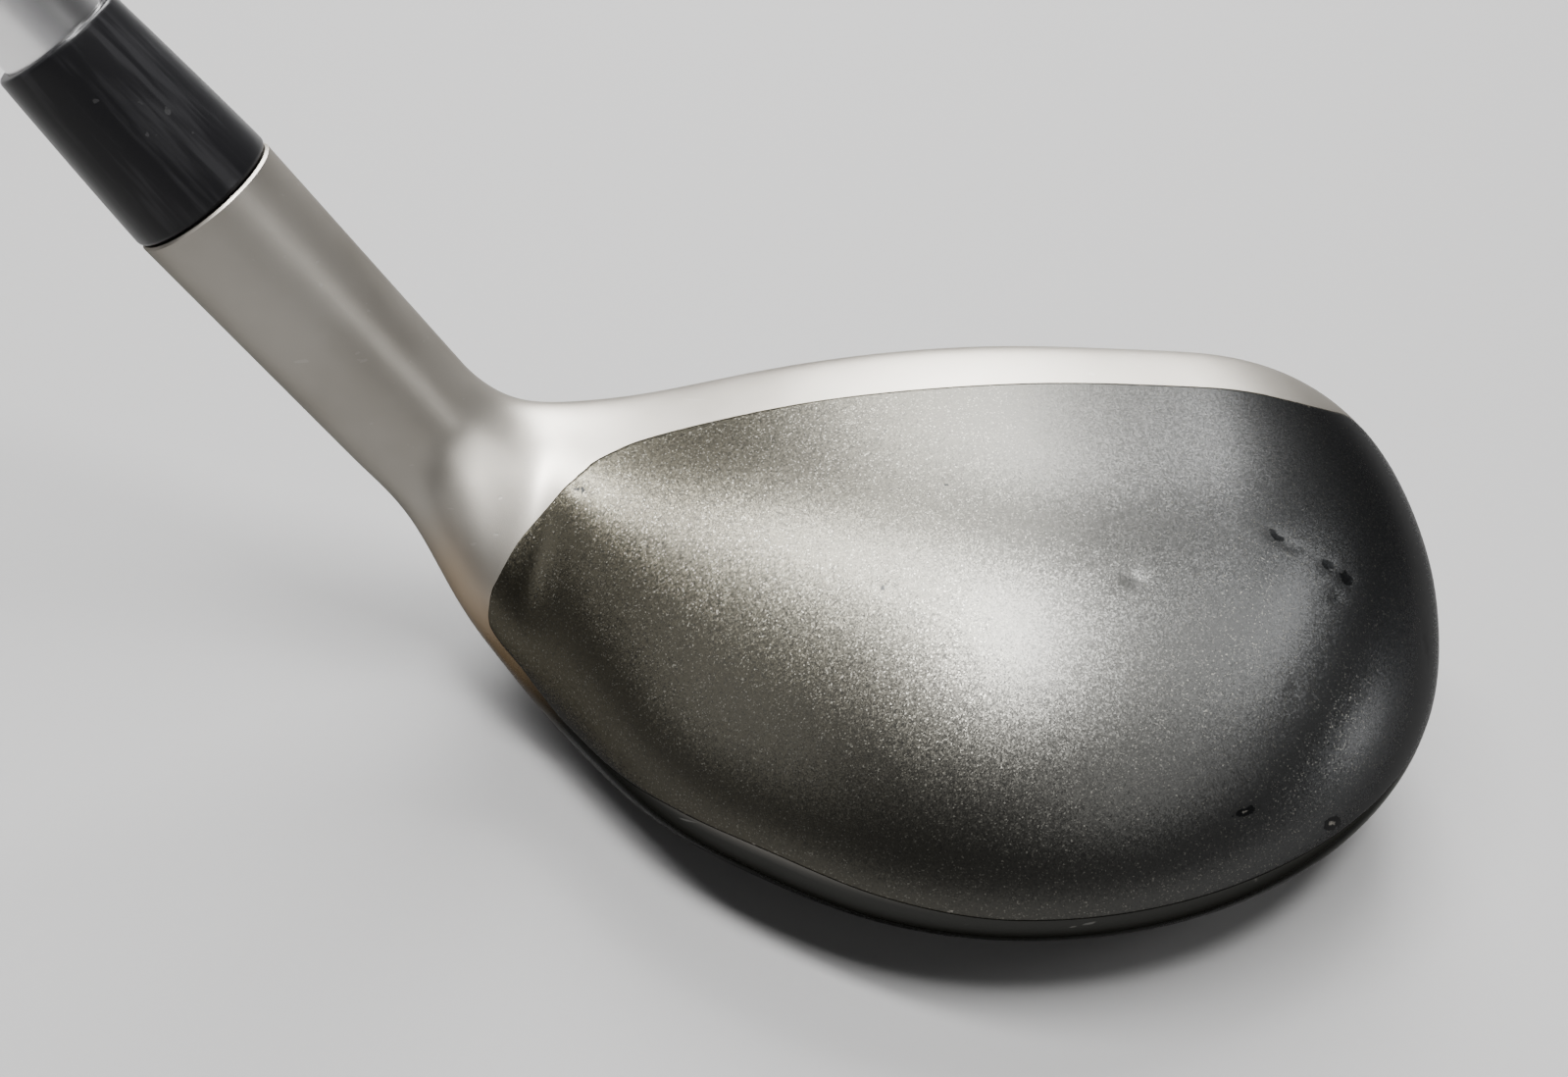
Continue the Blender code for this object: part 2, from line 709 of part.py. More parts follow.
tip_start = plug_top + SEAT_GAP
butt_end = CLUB_LENGTH - CAP_THICKNESS - SEAT_GAP
turned(
    "bonding_epoxy",
    [
        (tip_start, glue_inside),
        (tip_start, glue_outside),
        (HOSEL_TOP - 0.6, glue_outside),
        (HOSEL_TOP - 0.6, glue_inside),
    ],
    epoxy,
)

# --- the stepped shaft ------------------------------------------------------------------------------
mouth_at = CLUB_LENGTH - GRIP_LENGTH
first_step = tip_start + FIRST_STEP
last_step = mouth_at - LAST_STEP_GAP
step_pitch = (last_step - STEP_RAMP - first_step) / (STEP_COUNT - 1)
step_rise = (BUTT_RADIUS - TIP_RADIUS) / STEP_COUNT
profile = [(tip_start, TIP_RADIUS - 0.3), (tip_start + 0.5, TIP_RADIUS)]
for step in range(STEP_COUNT):
    along = first_step + step * step_pitch
    profile.append((along, TIP_RADIUS + step * step_rise))
    profile.append((along + STEP_RAMP, TIP_RADIUS + (step + 1) * step_rise))
profile.append((butt_end, BUTT_RADIUS))
profile.append((butt_end, BUTT_RADIUS - BUTT_WALL))
profile.append((last_step + 3, BUTT_RADIUS - BUTT_WALL))
profile.append((first_step - 3, TIP_RADIUS - TIP_WALL))
profile.append((tip_start, TIP_RADIUS - TIP_WALL))
turned("shaft", profile, shaft_chrome)

weight_radius = TIP_RADIUS - TIP_WALL - SLIP_GAP
turned(
    "tip_weight",
    [
        (tip_start + 1.0, 0),
        (tip_start + 1.0, weight_radius),
        (tip_start + 1.0 + TIP_WEIGHT_LENGTH, weight_radius),
        (tip_start + 2.5 + TIP_WEIGHT_LENGTH, weight_radius * 0.5),
        (tip_start + 2.5 + TIP_WEIGHT_LENGTH, 0),
    ],
    brass,
)

# --- the ferrule over the joint ---------------------------------------------------------------------
ferrule_foot = HOSEL_TOP + 0.12
ferrule_bore = TIP_RADIUS + SLIP_GAP
ferrule_top = ferrule_foot + FERRULE_LENGTH
ferrule_top_radius = ferrule_bore + FERRULE_TOP_WALL
turned(
    "ferrule",
    [
        (ferrule_foot, ferrule_bore),
        (ferrule_foot, HOSEL_RADIUS - FERRULE_CHAMFER),
        (ferrule_foot + 0.15, HOSEL_RADIUS - 0.15),
        (ferrule_foot + FERRULE_CHAMFER, HOSEL_RADIUS),
        (ferrule_foot + 0.25 * FERRULE_LENGTH, 0.9 * HOSEL_RADIUS + 0.1 * ferrule_top_radius),
        (ferrule_top - 0.4, ferrule_top_radius),
        (ferrule_top, ferrule_top_radius - 0.3),
        (ferrule_top, ferrule_bore),
    ],
    ferrule_plastic,
)

# --- the shaft band, a plain wrapped film under the grip's mouth -------------------------------------
band_end = last_step - STEP_RAMP - BAND_MARGIN
band_start = last_step - step_pitch + BAND_MARGIN
band_inside = TIP_RADIUS + (STEP_COUNT - 1) * step_rise + SLIP_GAP
turned(
    "shaft_band",
    [
        (band_start, band_inside),
        (band_start, band_inside + BAND_THICKNESS),
        (band_end, band_inside + BAND_THICKNESS),
        (band_end, band_inside),
    ],
    band_film,
)

# --- the grip: tape, sleeve and end cap -------------------------------------------------------------
tape_inside = BUTT_RADIUS + SLIP_GAP
tape_outside = tape_inside + TAPE_THICKNESS
sleeve_inside = tape_outside + SLIP_GAP
tape_start = mouth_at + 3.0
cap_face = CLUB_LENGTH
cap_inner = cap_face - CAP_THICKNESS
turned(
    "grip_tape",
    [
        (tape_start, tape_inside),
        (tape_start, tape_outside),
        (butt_end - 2, tape_outside),
        (butt_end - 2, tape_inside),
    ],
    tape_paper,
)

mouth_radius = sleeve_inside + GRIP_MOUTH_WALL
butt_radius = sleeve_inside + GRIP_BUTT_WALL
collar = 12.0
turned(
    "grip_sleeve",
    [
        (mouth_at, sleeve_inside),
        (mouth_at, mouth_radius - 0.9),
        (mouth_at + 0.8, mouth_radius),
        (mouth_at + collar, mouth_radius + 0.1),
        (mouth_at + collar + 0.4, mouth_radius - 0.5),
        (mouth_at + collar + 1.6, mouth_radius - 0.5),
        (mouth_at + collar + 2.0, mouth_radius + 0.15),
        (mouth_at + 0.45 * GRIP_LENGTH, mouth_radius + 1.1),
        (mouth_at + 0.8 * GRIP_LENGTH, butt_radius - 0.5),
        (cap_inner - 14, butt_radius),
        (cap_inner - 3, butt_radius + 0.6),
        (cap_inner - SEAT_GAP, butt_radius + 0.6),
        (cap_inner - SEAT_GAP, sleeve_inside),
    ],
    grip_rubber,
)

cap_plug_radius = BUTT_RADIUS - BUTT_WALL - SLIP_GAP
turned(
    "grip_cap",
    [
        (butt_end - CAP_PLUG_LENGTH, CAP_HOLE_RADIUS),
        (butt_end - CAP_PLUG_LENGTH, cap_plug_radius - 0.6),
        (butt_end - CAP_PLUG_LENGTH + 0.6, cap_plug_radius),
        (cap_inner, cap_plug_radius),
        (cap_inner, CAP_RADIUS - 1.0),
        (cap_inner + 0.9, CAP_RADIUS),
        (cap_face - 1.0, CAP_RADIUS - 0.3),
        (cap_face, CAP_RADIUS - 1.8),
        (cap_face, CAP_HOLE_RADIUS),
    ],
    cap_rubber,
)
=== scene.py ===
"""The looks of a hybrid golf club at address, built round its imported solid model.

Metres, +Z up, +X from heel to toe, +Y at the target, and the ground at z = 0. Sizes that read better
as millimetres are multiplied by MM.
"""

import math

import bmesh
import bpy
import numpy as np
from mathutils import Matrix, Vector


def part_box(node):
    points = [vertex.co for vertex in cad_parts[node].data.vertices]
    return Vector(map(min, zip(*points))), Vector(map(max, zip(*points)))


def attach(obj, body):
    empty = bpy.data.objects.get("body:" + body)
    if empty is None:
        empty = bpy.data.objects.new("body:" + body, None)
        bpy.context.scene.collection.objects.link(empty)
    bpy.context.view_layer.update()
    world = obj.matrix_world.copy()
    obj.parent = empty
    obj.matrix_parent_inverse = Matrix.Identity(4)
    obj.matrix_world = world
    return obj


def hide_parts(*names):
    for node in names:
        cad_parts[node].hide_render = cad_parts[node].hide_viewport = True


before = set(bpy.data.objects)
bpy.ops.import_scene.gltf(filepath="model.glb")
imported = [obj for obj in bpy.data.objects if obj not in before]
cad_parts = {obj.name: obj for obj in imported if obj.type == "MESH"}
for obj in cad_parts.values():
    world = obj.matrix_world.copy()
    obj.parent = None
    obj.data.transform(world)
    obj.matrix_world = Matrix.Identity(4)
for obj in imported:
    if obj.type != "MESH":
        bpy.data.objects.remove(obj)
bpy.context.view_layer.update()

MM = 0.001

# ========================================
# The head body: one stainless casting, bead-blasted, with its skirt and sole buffed. Only its outside
# is built here: a closed skin with a seat for the crown, but with no bore, no opening behind the face
# plate and no pocket for the weight screw.
# ========================================

LIE_ANGLE = math.radians(60)
LOFT_ANGLE = math.radians(19)
HEAD_HEIGHT = 37.0
HEAD_BREADTH = 46.2
FACE_LEAD = 18.6
SHAFT_AXIS_X = -33.0
TOE_X = 45.6
TOE_Y = -11.5
TOE_Z = 17.0
REST = np.array([1.0, 4.0, 0.0])
HOSEL_RADIUS = 6.8
NECK_RADIUS = 6.85
NECK_FILLET = 12.0
HOSEL_TOP_Z = 57.0
HOSEL_CHAMFER = 0.2

# Each pair is an X and a share of the height, the face lead or the breadth.
TOP_LINE = ((-37, 0.843), (-34.5, 0.844), (-20, 0.914), (-8, 0.973), (5, 1.0), (18, 0.989), (30, 0.984),
            (46, 0.989))
LEAD_LINE = ((-37, 0.775), (-30, 0.84), (-20, 0.925), (0, 1.0), (20, 0.978), (46, 0.86))
BACK_LINE = ((-37, -0.485), (-30, -0.655), (-20, -0.812), (-8, -0.934), (4, -0.978), (16, -0.988),
             (46, -0.963))
EDGE_LINE = ((-37, 13.0), (0, 14.0), (46, 15.0))
SOLE_LINE = ((-37, 2.6), (-15, 0.25), (0, -0.2), (20, 0.4), (46, 4.0))
# Each pair is an angle round the neck and a share of the way from the hosel's size to the head's.
NECK_BACK = ((0, 1.0), (12, 0.66), (24, 0.645), (36, 0.635), (48, 0.40), (60, 0.0))
NECK_FRONT = ((0, 1.0), (20, 0.69), (40, 0.18), (60, 0.0))
NECK_OUTER = ((0, 1.0), (6, 0.95), (15, 0.77), (30, 0.41), (45, 0.13), (60, 0.0))

# The painted crown's two edges, by the root of the distance from its heel tip.
CROWN_TIP = -21.0
CROWN_TOE = 87.5
CROWN_FRONT = ((0, 5.55), (0.6, 5.34), (1, 5.05), (1.8, 4.43), (2.6, 3.92), (3.3, 3.48), (4.1, 2.99),
               (4.4, 2.845), (4.58, 2.74), (4.7, 2.478), (4.8, 2.317), (5.0, 2.063), (5.3, 1.875),
               (5.6, 1.774), (6.2, 1.65), (6.9, 1.592), (7.8, 1.525), (8.6, 1.53), (8.8, 1.48), (9.0, 1.31),
               (9.2, 0.92), (9.43, 0.45), (9.95, -0.7), (10.5, -1.6))
CROWN_BACK = ((0, 5.55), (0.6, 5.86), (1, 6.14), (1.5, 6.33), (2.2, 6.38), (3.3, 6.27), (4.2, 6.25),
              (4.8, 6.16), (5.3, 5.99), (5.8, 5.94), (6.4, 6.02), (7, 6.1), (8.5, 6.05), (10.5, 6.05))
SEAT_DEPTH = 1.0

SIDE_COUNT = 16
CIRCLE_PULL = (2 + math.cos(2 * math.pi / SIDE_COUNT)) / 3


def curve(knots, tight=False):
    """A smooth curve through the knots. A tight one never overshoots them, but bends less evenly."""
    x, value = np.array(knots, float).T
    step = np.diff(x)
    slope = np.diff(value) / step
    count = len(x)
    links = np.zeros((count, count))
    wanted = np.zeros(count)
    links[0, :2] = (2, 1)
    links[-1, -2:] = (1, 2)
    wanted[0] = 3 * slope[0]
    wanted[-1] = 3 * slope[-1]
    for i in range(1, count - 1):
        links[i, i - 1 : i + 2] = (1 / step[i - 1], 2 / step[i - 1] + 2 / step[i], 1 / step[i])
        wanted[i] = 3 * (slope[i - 1] / step[i - 1] + slope[i] / step[i])
    tangent = np.linalg.solve(links, wanted)
    if tight:
        tangent = np.zeros(count)
        tangent[0] = slope[0]
        tangent[-1] = slope[-1]
        for i in range(1, count - 1):
            if slope[i - 1] * slope[i] > 0:
                near = 2 * step[i] + step[i - 1]
                far = step[i] + 2 * step[i - 1]
                tangent[i] = (near + far) / (near / slope[i - 1] + far / slope[i])

    def value_at(at):
        at = min(max(at, x[0]), x[-1])
        i = min(max(int(np.searchsorted(x, at)) - 1, 0), len(step) - 1)
        t = (at - x[i]) / step[i]
        return (
            (2 * t**3 - 3 * t**2 + 1) * value[i]
            + (t**3 - 2 * t**2 + t) * step[i] * tangent[i]
            + (3 * t**2 - 2 * t**3) * value[i + 1]
            + (t**3 - t**2) * step[i] * tangent[i + 1]
        )

    return value_at


top_at = curve(TOP_LINE)
lead_at = curve(LEAD_LINE)
back_at = curve(BACK_LINE)
edge_at = curve(EDGE_LINE)
sole_at = curve(SOLE_LINE)
neck_back_at = curve(NECK_BACK)
neck_front_at = curve(NECK_FRONT)
neck_outer_at = curve(NECK_OUTER)
crown_front_at = curve(CROWN_FRONT, tight=True)
crown_back_at = curve(CROWN_BACK, tight=True)

NECK_TURN = 60.0
PIVOT_Z = top_at(SHAFT_AXIS_X) * HEAD_HEIGHT + NECK_FILLET
PIVOT_X = (
    SHAFT_AXIS_X
    + (NECK_FILLET + NECK_RADIUS - PIVOT_Z * math.cos(LIE_ANGLE)) / math.sin(LIE_ANGLE)
)
HEAD_REACH = TOE_X - PIVOT_X
AXIS = np.array([-math.cos(LIE_ANGLE), 0.0, math.sin(LIE_ANGLE)])
AXIS_SIDE = np.array([math.sin(LIE_ANGLE), 0.0, math.cos(LIE_ANGLE)])
AXIS_FRONT = np.array([0.0, 1.0, 0.0])
HOSEL_TOP = HOSEL_TOP_Z / math.sin(LIE_ANGLE)
HEAD_SPEED = math.radians(HEAD_REACH)
NECK_SPEED = 0.32
JOIN_EASE = 3.2
JOIN_SPAN = 8.0
HOSEL_RUN = (HOSEL_TOP_Z - PIVOT_Z + (NECK_FILLET + NECK_RADIUS) * math.cos(LIE_ANGLE)) / math.sin(LIE_ANGLE)


def swell(value, low, high):
    """0 below `low`, 1 above `high`, and smooth between."""
    share = np.clip((value - low) / (high - low), 0, 1)
    return share * share * (3 - 2 * share)


def rounding(share, power):
    return (1 - min(max(share, 0.0), 1.0) ** power) ** 0.5


def head_section(x):
    """Sixteen control points, as (y, z), from the top line over the crown and round by the sole."""
    top = top_at(x) * HEAD_HEIGHT
    lead = lead_at(x) * FACE_LEAD
    back = back_at(x) * HEAD_BREADTH
    edge = edge_at(x)
    sole = sole_at(x)
    face_foot = sole + 3.0
    face_top = lead - (top - face_foot) * math.tan(LOFT_ANGLE)
    points = [(face_top, top), (face_top - 2.8, top + 0.9)]
    for share in (0.22, 0.45, 0.68, 0.88):
        height = top + 1.6 * math.sin(math.pi * min(share * 1.6, 1)) - edge
        points.append((face_top + (back - face_top) * share, edge + height * (1 - share**2.1) ** 0.62))
    points.append((back - 0.3, edge + 1.5))
    points.append((back + 1.5, edge - 5.0))
    for share in (0.78, 0.5, 0.2):
        rise = (edge - 6 - sole) * max(0.0, (share - 0.25) / 0.75) ** 2.2
        points.append((lead - 6 + (back - lead + 6) * share, sole + rise))
    points.append((lead - 4.5, sole - 0.1))
    points.append((lead + 0.3, face_foot - 1.6))
    for share in (0.2, 0.5, 0.82):
        points.append((lead + (face_top - lead) * share, face_foot + (top - face_foot) * share))
    section = np.array(points)
    front = rounding((x - 17) / (TOE_X - 17), 2.5)
    behind = rounding((x + 2) / (TOE_X + 2), 2.2)
    upright = rounding((x - 22) / (TOE_X - 22), 2.4)
    section[:, 0] = TOE_Y + (section[:, 0] - TOE_Y) * np.where(section[:, 0] > TOE_Y, front, behind)
    section[:, 1] = TOE_Z + (section[:, 1] - TOE_Z) * upright
    return section


def round_section(radius):
    turn = np.radians(45 + 360 / SIDE_COUNT * np.arange(SIDE_COUNT))
    centre = PIVOT_Z - NECK_FILLET - NECK_RADIUS
    return np.stack([radius / CIRCLE_PULL * np.cos(turn), centre + radius / CIRCLE_PULL * np.sin(turn)], 1)


def neck_section(angle):
    """Between the head's first section and a circle, as the neck turns up into the hosel."""
    section = head_section(PIVOT_X)
    half = np.where(
        section[:, 0] < 0,
        NECK_RADIUS / -back_at(PIVOT_X) / HEAD_BREADTH,
        NECK_RADIUS / lead_at(PIVOT_X) / FACE_LEAD,
    )
    share = np.where(section[:, 0] < 0, neck_back_at(angle), neck_front_at(angle))
    section[:, 0] *= half + (1 - half) * share
    depth = PIVOT_Z - section[:, 1]
    first = depth.max() - NECK_FILLET
    wanted = 2 * NECK_RADIUS + (first - 2 * NECK_RADIUS) * neck_outer_at(angle)
    section[:, 1] = PIVOT_Z - NECK_FILLET - (depth - NECK_FILLET) * wanted / first
    share = swell(angle, 0, NECK_TURN)
    return (1 - share) * section + share * round_section(NECK_RADIUS)


def loft(station, side):
    """Points of the head's outside. A station over 0 is an angle to the toe, one under 0 goes up the neck."""
    if station >= 0:
        x = PIVOT_X + HEAD_REACH * math.sin(math.radians(min(station, 90)))
        section = head_section(x)
    elif station >= -NECK_TURN:
        section = neck_section(-station)
    else:
        share = min((-NECK_TURN - station) / HOSEL_RUN, 1)
        section = round_section(NECK_RADIUS + (HOSEL_RADIUS - NECK_RADIUS) * share)
    side = np.asarray(side, float)
    index = np.floor(side).astype(int)
    t = (side - index)[:, None]
    a, b, c, d = (section[(index + k) % SIDE_COUNT] for k in (-1, 0, 1, 2))
    flat = (
        (1 - t) ** 3 * a
        + (3 * t**3 - 6 * t**2 + 4) * b
        + (-3 * t**3 + 3 * t**2 + 3 * t + 1) * c
        + t**3 * d
    ) / 6
    if station >= 0:
        return np.stack([np.full(len(side), x), flat[:, 0], flat[:, 1]], 1)
    turn = math.radians(min(-station, NECK_TURN))
    reach = PIVOT_Z - flat[:, 1]
    points = np.stack(
        [PIVOT_X - reach * math.sin(turn), flat[:, 0], PIVOT_Z - reach * math.cos(turn)], 1
    )
    return points + max(0.0, -NECK_TURN - station) * AXIS


def skin(station, side):
    """The loft, with the crease between the neck and the head eased away like the casting's own blend."""
    run = station * (HEAD_SPEED if station > 0 else NECK_SPEED)
    ease = JOIN_EASE * max(0.0, 1 - (run / JOIN_SPAN) ** 2) ** 2
    if ease < 0.02:
        return loft(station, side)
    total = 0.0
    for share in np.linspace(-0.9, 0.9, 10):
        near = run + ease * share
        total = total + (1 - abs(share)) * loft(near / (HEAD_SPEED if near > 0 else NECK_SPEED), side)
    return total / 5


def outward(station, side):
    """Unit normals of the skin, and how far a unit of each direction reaches."""
    side = np.asarray(side, float)
    station = min(station, 89.0)
    along = (skin(station + 0.2, side) - skin(station - 0.2, side)) / 0.4
    across = (skin(station, side + 0.02) - skin(station, side - 0.02)) / 0.04
    normal = np.cross(across, along)
    normal /= np.linalg.norm(normal, axis=1)[:, None]
    return normal, np.linalg.norm(along, axis=1), np.linalg.norm(across, axis=1)


def lifted(station, side, height):
    return skin(station, side) + outward(station, side)[0] * np.asarray(height, float).reshape(-1, 1)


def on_axis(along, radius, turn=0.0):
    """A point a distance up the shaft axis from the ground, a radius away from it."""
    ground = np.array([SHAFT_AXIS_X, 0.0, 0.0])
    return ground + AXIS * along + radius * (math.cos(turn) * AXIS_SIDE + math.sin(turn) * AXIS_FRONT)


def made(name, points, faces, material, values=None, sharp=40):
    """A piece from points in millimetres, with a number for each point under each name in `values`."""
    mesh = bpy.data.meshes.new(name)
    mesh.from_pydata(((np.asarray(points, float) - REST) * MM).tolist(), [], faces)
    for label, numbers in (values or {}).items():
        mesh.attributes.new(label, "FLOAT", "POINT").data.foreach_set("value", np.asarray(numbers, float))
    work = bmesh.new()
    work.from_mesh(mesh)
    bmesh.ops.remove_doubles(work, verts=work.verts, dist=1e-7)
    bmesh.ops.recalc_face_normals(work, faces=work.faces)
    work.to_mesh(mesh)
    work.free()
    mesh.shade_smooth()
    mesh.set_sharp_from_angle(angle=math.radians(sharp))
    mesh.materials.append(material)
    piece = bpy.data.objects.new(name, mesh)
    bpy.context.scene.collection.objects.link(piece)
    return piece


def tube_faces(rows, count):
    """Faces of rows of points that each close on themselves, with a point at either end."""
    faces = []
    for i in range(rows - 1):
        for j in range(count):
            a = i * count + j
            b = i * count + (j + 1) % count
            faces.append((a, b, b + count, a + count))
    last = (rows - 1) * count
    for j in range(count):
        k = (j + 1) % count
        faces.append((k, j, rows * count))
        faces.append((last + j, last + k, rows * count + 1))
    return faces


class Reading:
    """A number on its way through a node tree. A sum on it adds its own nodes."""

    def __init__(self, tree, socket):
        self.tree = tree
        self.socket = socket

    def worked(self, operation, *values):
        node = add_node(self.tree, "ShaderNodeMath", {"operation": operation}, dict(enumerate(values)))
        return Reading(self.tree, node.outputs[0])

    def __add__(self, other):
        return self.worked("ADD", self, other)

    def __radd__(self, other):
        return self.worked("ADD", other, self)

    def __sub__(self, other):
        return self.worked("SUBTRACT", self, other)

    def __rsub__(self, other):
        return self.worked("SUBTRACT", other, self)

    def __mul__(self, other):
        return self.worked("MULTIPLY", self, other)

    def __rmul__(self, other):
        return self.worked("MULTIPLY", other, self)

    def __truediv__(self, other):
        return self.worked("DIVIDE", self, other)

    def __mod__(self, other):
        return self.worked("MODULO", self, other)

    def larger(self, other):
        return self.worked("MAXIMUM", self, other)

    def smaller(self, other):
        return self.worked("MINIMUM", self, other)

    def whole(self):
        return self.worked("FLOOR", self)

    def sine(self):
        return self.worked("SINE", self)

    def cosine(self):
        return self.worked("COSINE", self)

    def over(self, low, high):
        """0 below `low`, 1 above `high`, and smooth between."""
        node = add_node(
            self.tree,
            "ShaderNodeMapRange",
            {"interpolation_type": "SMOOTHSTEP"},
            {"Value": self, "From Min": low, "From Max": high},
        )
        return Reading(self.tree, node.outputs["Result"])


def feed(tree, socket, value):
    """Links a reading or another socket to this one, or gives it a plain value."""
    if isinstance(value, Reading):
        value = value.socket
    if isinstance(value, bpy.types.NodeSocket):
        tree.links.new(value, socket)
    elif socket.type == "RGBA":
        socket.default_value = (*value[:3], 1)
    else:
        socket.default_value = value


def add_node(tree, kind, settings=None, sockets=None):
    """A node of a type, its settings first, then the values or links of its sockets."""
    node = tree.nodes.new(kind)
    for setting, value in (settings or {}).items():
        setattr(node, setting, value)
    for socket, value in (sockets or {}).items():
        feed(tree, node.inputs[socket], value)
    return node


# The places of a Mix node's two colours and of its result.
MIX_LOW = 6
MIX_HIGH = 7
MIX_COLOUR = 2


class Finish:
    """One material, and the ways to read and feed its shader."""

    def __init__(self, name, colour, **sockets):
        self.material = bpy.data.materials.new(name)
        self.material.use_nodes = True
        self.tree = self.material.node_tree
        self.shader = self.tree.nodes["Principled BSDF"]
        self.shader.inputs["Base Color"].default_value = (*colour, 1)
        self.material.diffuse_color = (*colour, 1)
        for socket, value in sockets.items():
            self.shader.inputs[socket.replace("_", " ")].default_value = value
        self.place = self.node("ShaderNodeTexCoord").outputs["Object"]

    def node(self, kind, settings=None, sockets=None):
        return add_node(self.tree, kind, settings, sockets)

    def reading(self, node, output):
        return Reading(self.tree, node.outputs[output])

    def set(self, **sockets):
        for socket, value in sockets.items():
            feed(self.tree, self.shader.inputs[socket.replace("_", " ")], value)

    def attribute(self, name):
        return self.reading(self.node("ShaderNodeAttribute", {"attribute_name": name}), "Fac")

    def stretched(self, scale, turn=(0.0, 0.0, 0.0)):
        """Object coordinates turned, then scaled, for a grain that runs one way."""
        turned = self.node("ShaderNodeMapping", None, {"Vector": self.place, "Rotation": turn})
        return self.node("ShaderNodeMapping", None, {"Vector": turned.outputs[0], "Scale": scale}).outputs[0]

    def noise(self, scale, detail=2.0, roughness=0.5, at=None):
        sockets = {"Vector": at or self.place, "Scale": scale, "Detail": detail, "Roughness": roughness}
        return self.reading(self.node("ShaderNodeTexNoise", None, sockets), "Fac")

    def cells(self, scale):
        """A random colour for each small cell of the surface."""
        sockets = {"Vector": self.place, "Scale": scale}
        return self.node("ShaderNodeTexVoronoi", None, sockets).outputs["Color"]

    def vector(self, operation, *values, **named):
        """Vector maths on sockets or plain vectors."""
        sockets = {**dict(enumerate(values)), **named}
        return self.node("ShaderNodeVectorMath", {"operation": operation}, sockets).outputs

    def mix(self, share, low, high):
        """A colour between two others."""
        sockets = {"Factor": share, MIX_LOW: low, MIX_HIGH: high}
        return self.node("ShaderNodeMix", {"data_type": "RGBA"}, sockets).outputs[MIX_COLOUR]

    def bump(self, height, distance, strength):
        sockets = {"Height": height, "Distance": distance, "Strength": strength}
        return self.node("ShaderNodeBump", None, sockets).outputs["Normal"]


# The casting's grain is a fine blast with a few long handling scratches. The `buffed` number on each
# point says how far the skirt and the sole are polished, and `face_frame` where the grind is upright.
cast_steel = Finish("cast_steel", (0.26, 0.24, 0.21), Roughness=0.3, Metallic=1.0)
buffed = cast_steel.attribute("buffed")
face_frame = cast_steel.attribute("face_frame")
tarnish = cast_steel.attribute("tarnish")
painted_dark_reflection = cast_steel.attribute("painted_dark_reflection")
blast = cast_steel.noise(9000, 2.0, 0.6)
cloud = cast_steel.noise(70, 3.0, 0.55)
grind = cast_steel.noise(1.0, 3.0, 0.6, cast_steel.stretched((5200, 5200, 160)))
polish_lines = cast_steel.noise(1.0, 2.0, 0.6, cast_steel.stretched((140, 3800, 3800)))
scratch_field = cast_steel.noise(1.0, 2.0, 0.4, cast_steel.stretched((60, 900, 1500), (0.3, 0.2, 0.5)))
scratches = scratch_field.over(0.72, 0.76)
satin = cast_steel.mix(cloud.over(0.3, 0.7), (0.240, 0.224, 0.198), (0.285, 0.268, 0.240))
bright = cast_steel.mix(cloud.over(0.25, 0.75), (0.20, 0.194, 0.184), (0.26, 0.25, 0.238))
colour = cast_steel.mix(buffed, satin, bright)
# The skirt under the crown's back edge is coloured near-black: a painted dark reflection, standing in for the
# shade the steel would mirror.
colour = cast_steel.mix(painted_dark_reflection, colour, (0.034, 0.034, 0.032))
colour = cast_steel.mix(tarnish * (0.35 + 0.65 * cloud), colour, (0.26, 0.19, 0.12))
colour = cast_steel.mix(scratches * 0.12, colour, (0.5, 0.49, 0.46))
rough = 0.42 + 0.10 * (cloud - 0.5) + 0.05 * (blast - 0.5)
rough = rough - 0.15 * buffed + 0.05 * (polish_lines - 0.5) * buffed + 0.06 * face_frame
height = blast * (1 - 0.85 * buffed) * (1 - 0.7 * face_frame) + grind * face_frame * 1.2
height = height + polish_lines * buffed * 0.5 - scratches * 0.8
cast_steel.set(
    Specular_Tint=(0.35, 0.35, 0.35),
    Base_Color=colour,
    Roughness=rough,
    Normal=cast_steel.bump(height, 0.000012, 0.6),
)

# Stations run from the hosel's mouth to the toe, close together where the crown's tip turns.
hosel_stations = list(np.linspace(-NECK_TURN - HOSEL_RUN + HOSEL_CHAMFER, -NECK_TURN, 14)[:-1])
neck_stations = list(np.linspace(-NECK_TURN, CROWN_TIP, 52)[:-1])
crown_reach = math.sqrt(CROWN_TOE - CROWN_TIP)
crown_stations = [CROWN_TIP + root * root for root in np.linspace(0.0, crown_reach, 190)]
toe_stations = [CROWN_TOE + 0.02, 88.3, 89.0, 89.6]
OUTSIDE_POINTS = 170
SEAT_POINTS = 26
ROW_POINTS = OUTSIDE_POINTS + SEAT_POINTS
SEAT_LEAD_IN = 1.0


def crown_edges(station):
    root = math.sqrt(min(max(station - CROWN_TIP, 0), CROWN_TOE - CROWN_TIP))
    return crown_front_at(root), crown_back_at(root)


def body_row(station):
    """One closed row: round the outside from the crown's back edge to its front, then along the seat."""
    front, back = crown_edges(station)
    outside = back + (front + SIDE_COUNT - back) * np.linspace(0, 1, OUTSIDE_POINTS)
    seat = front + (back - front) * np.linspace(0, 1, SEAT_POINTS)
    is_open = CROWN_TIP < station <= CROWN_TOE
    depth = SEAT_DEPTH * min(1.0, (station - CROWN_TIP) / SEAT_LEAD_IN) if is_open else 0.0
    points = np.concatenate([skin(station, outside), lifted(station, seat, np.full(SEAT_POINTS, -depth))])
    return points, np.concatenate([outside, seat])


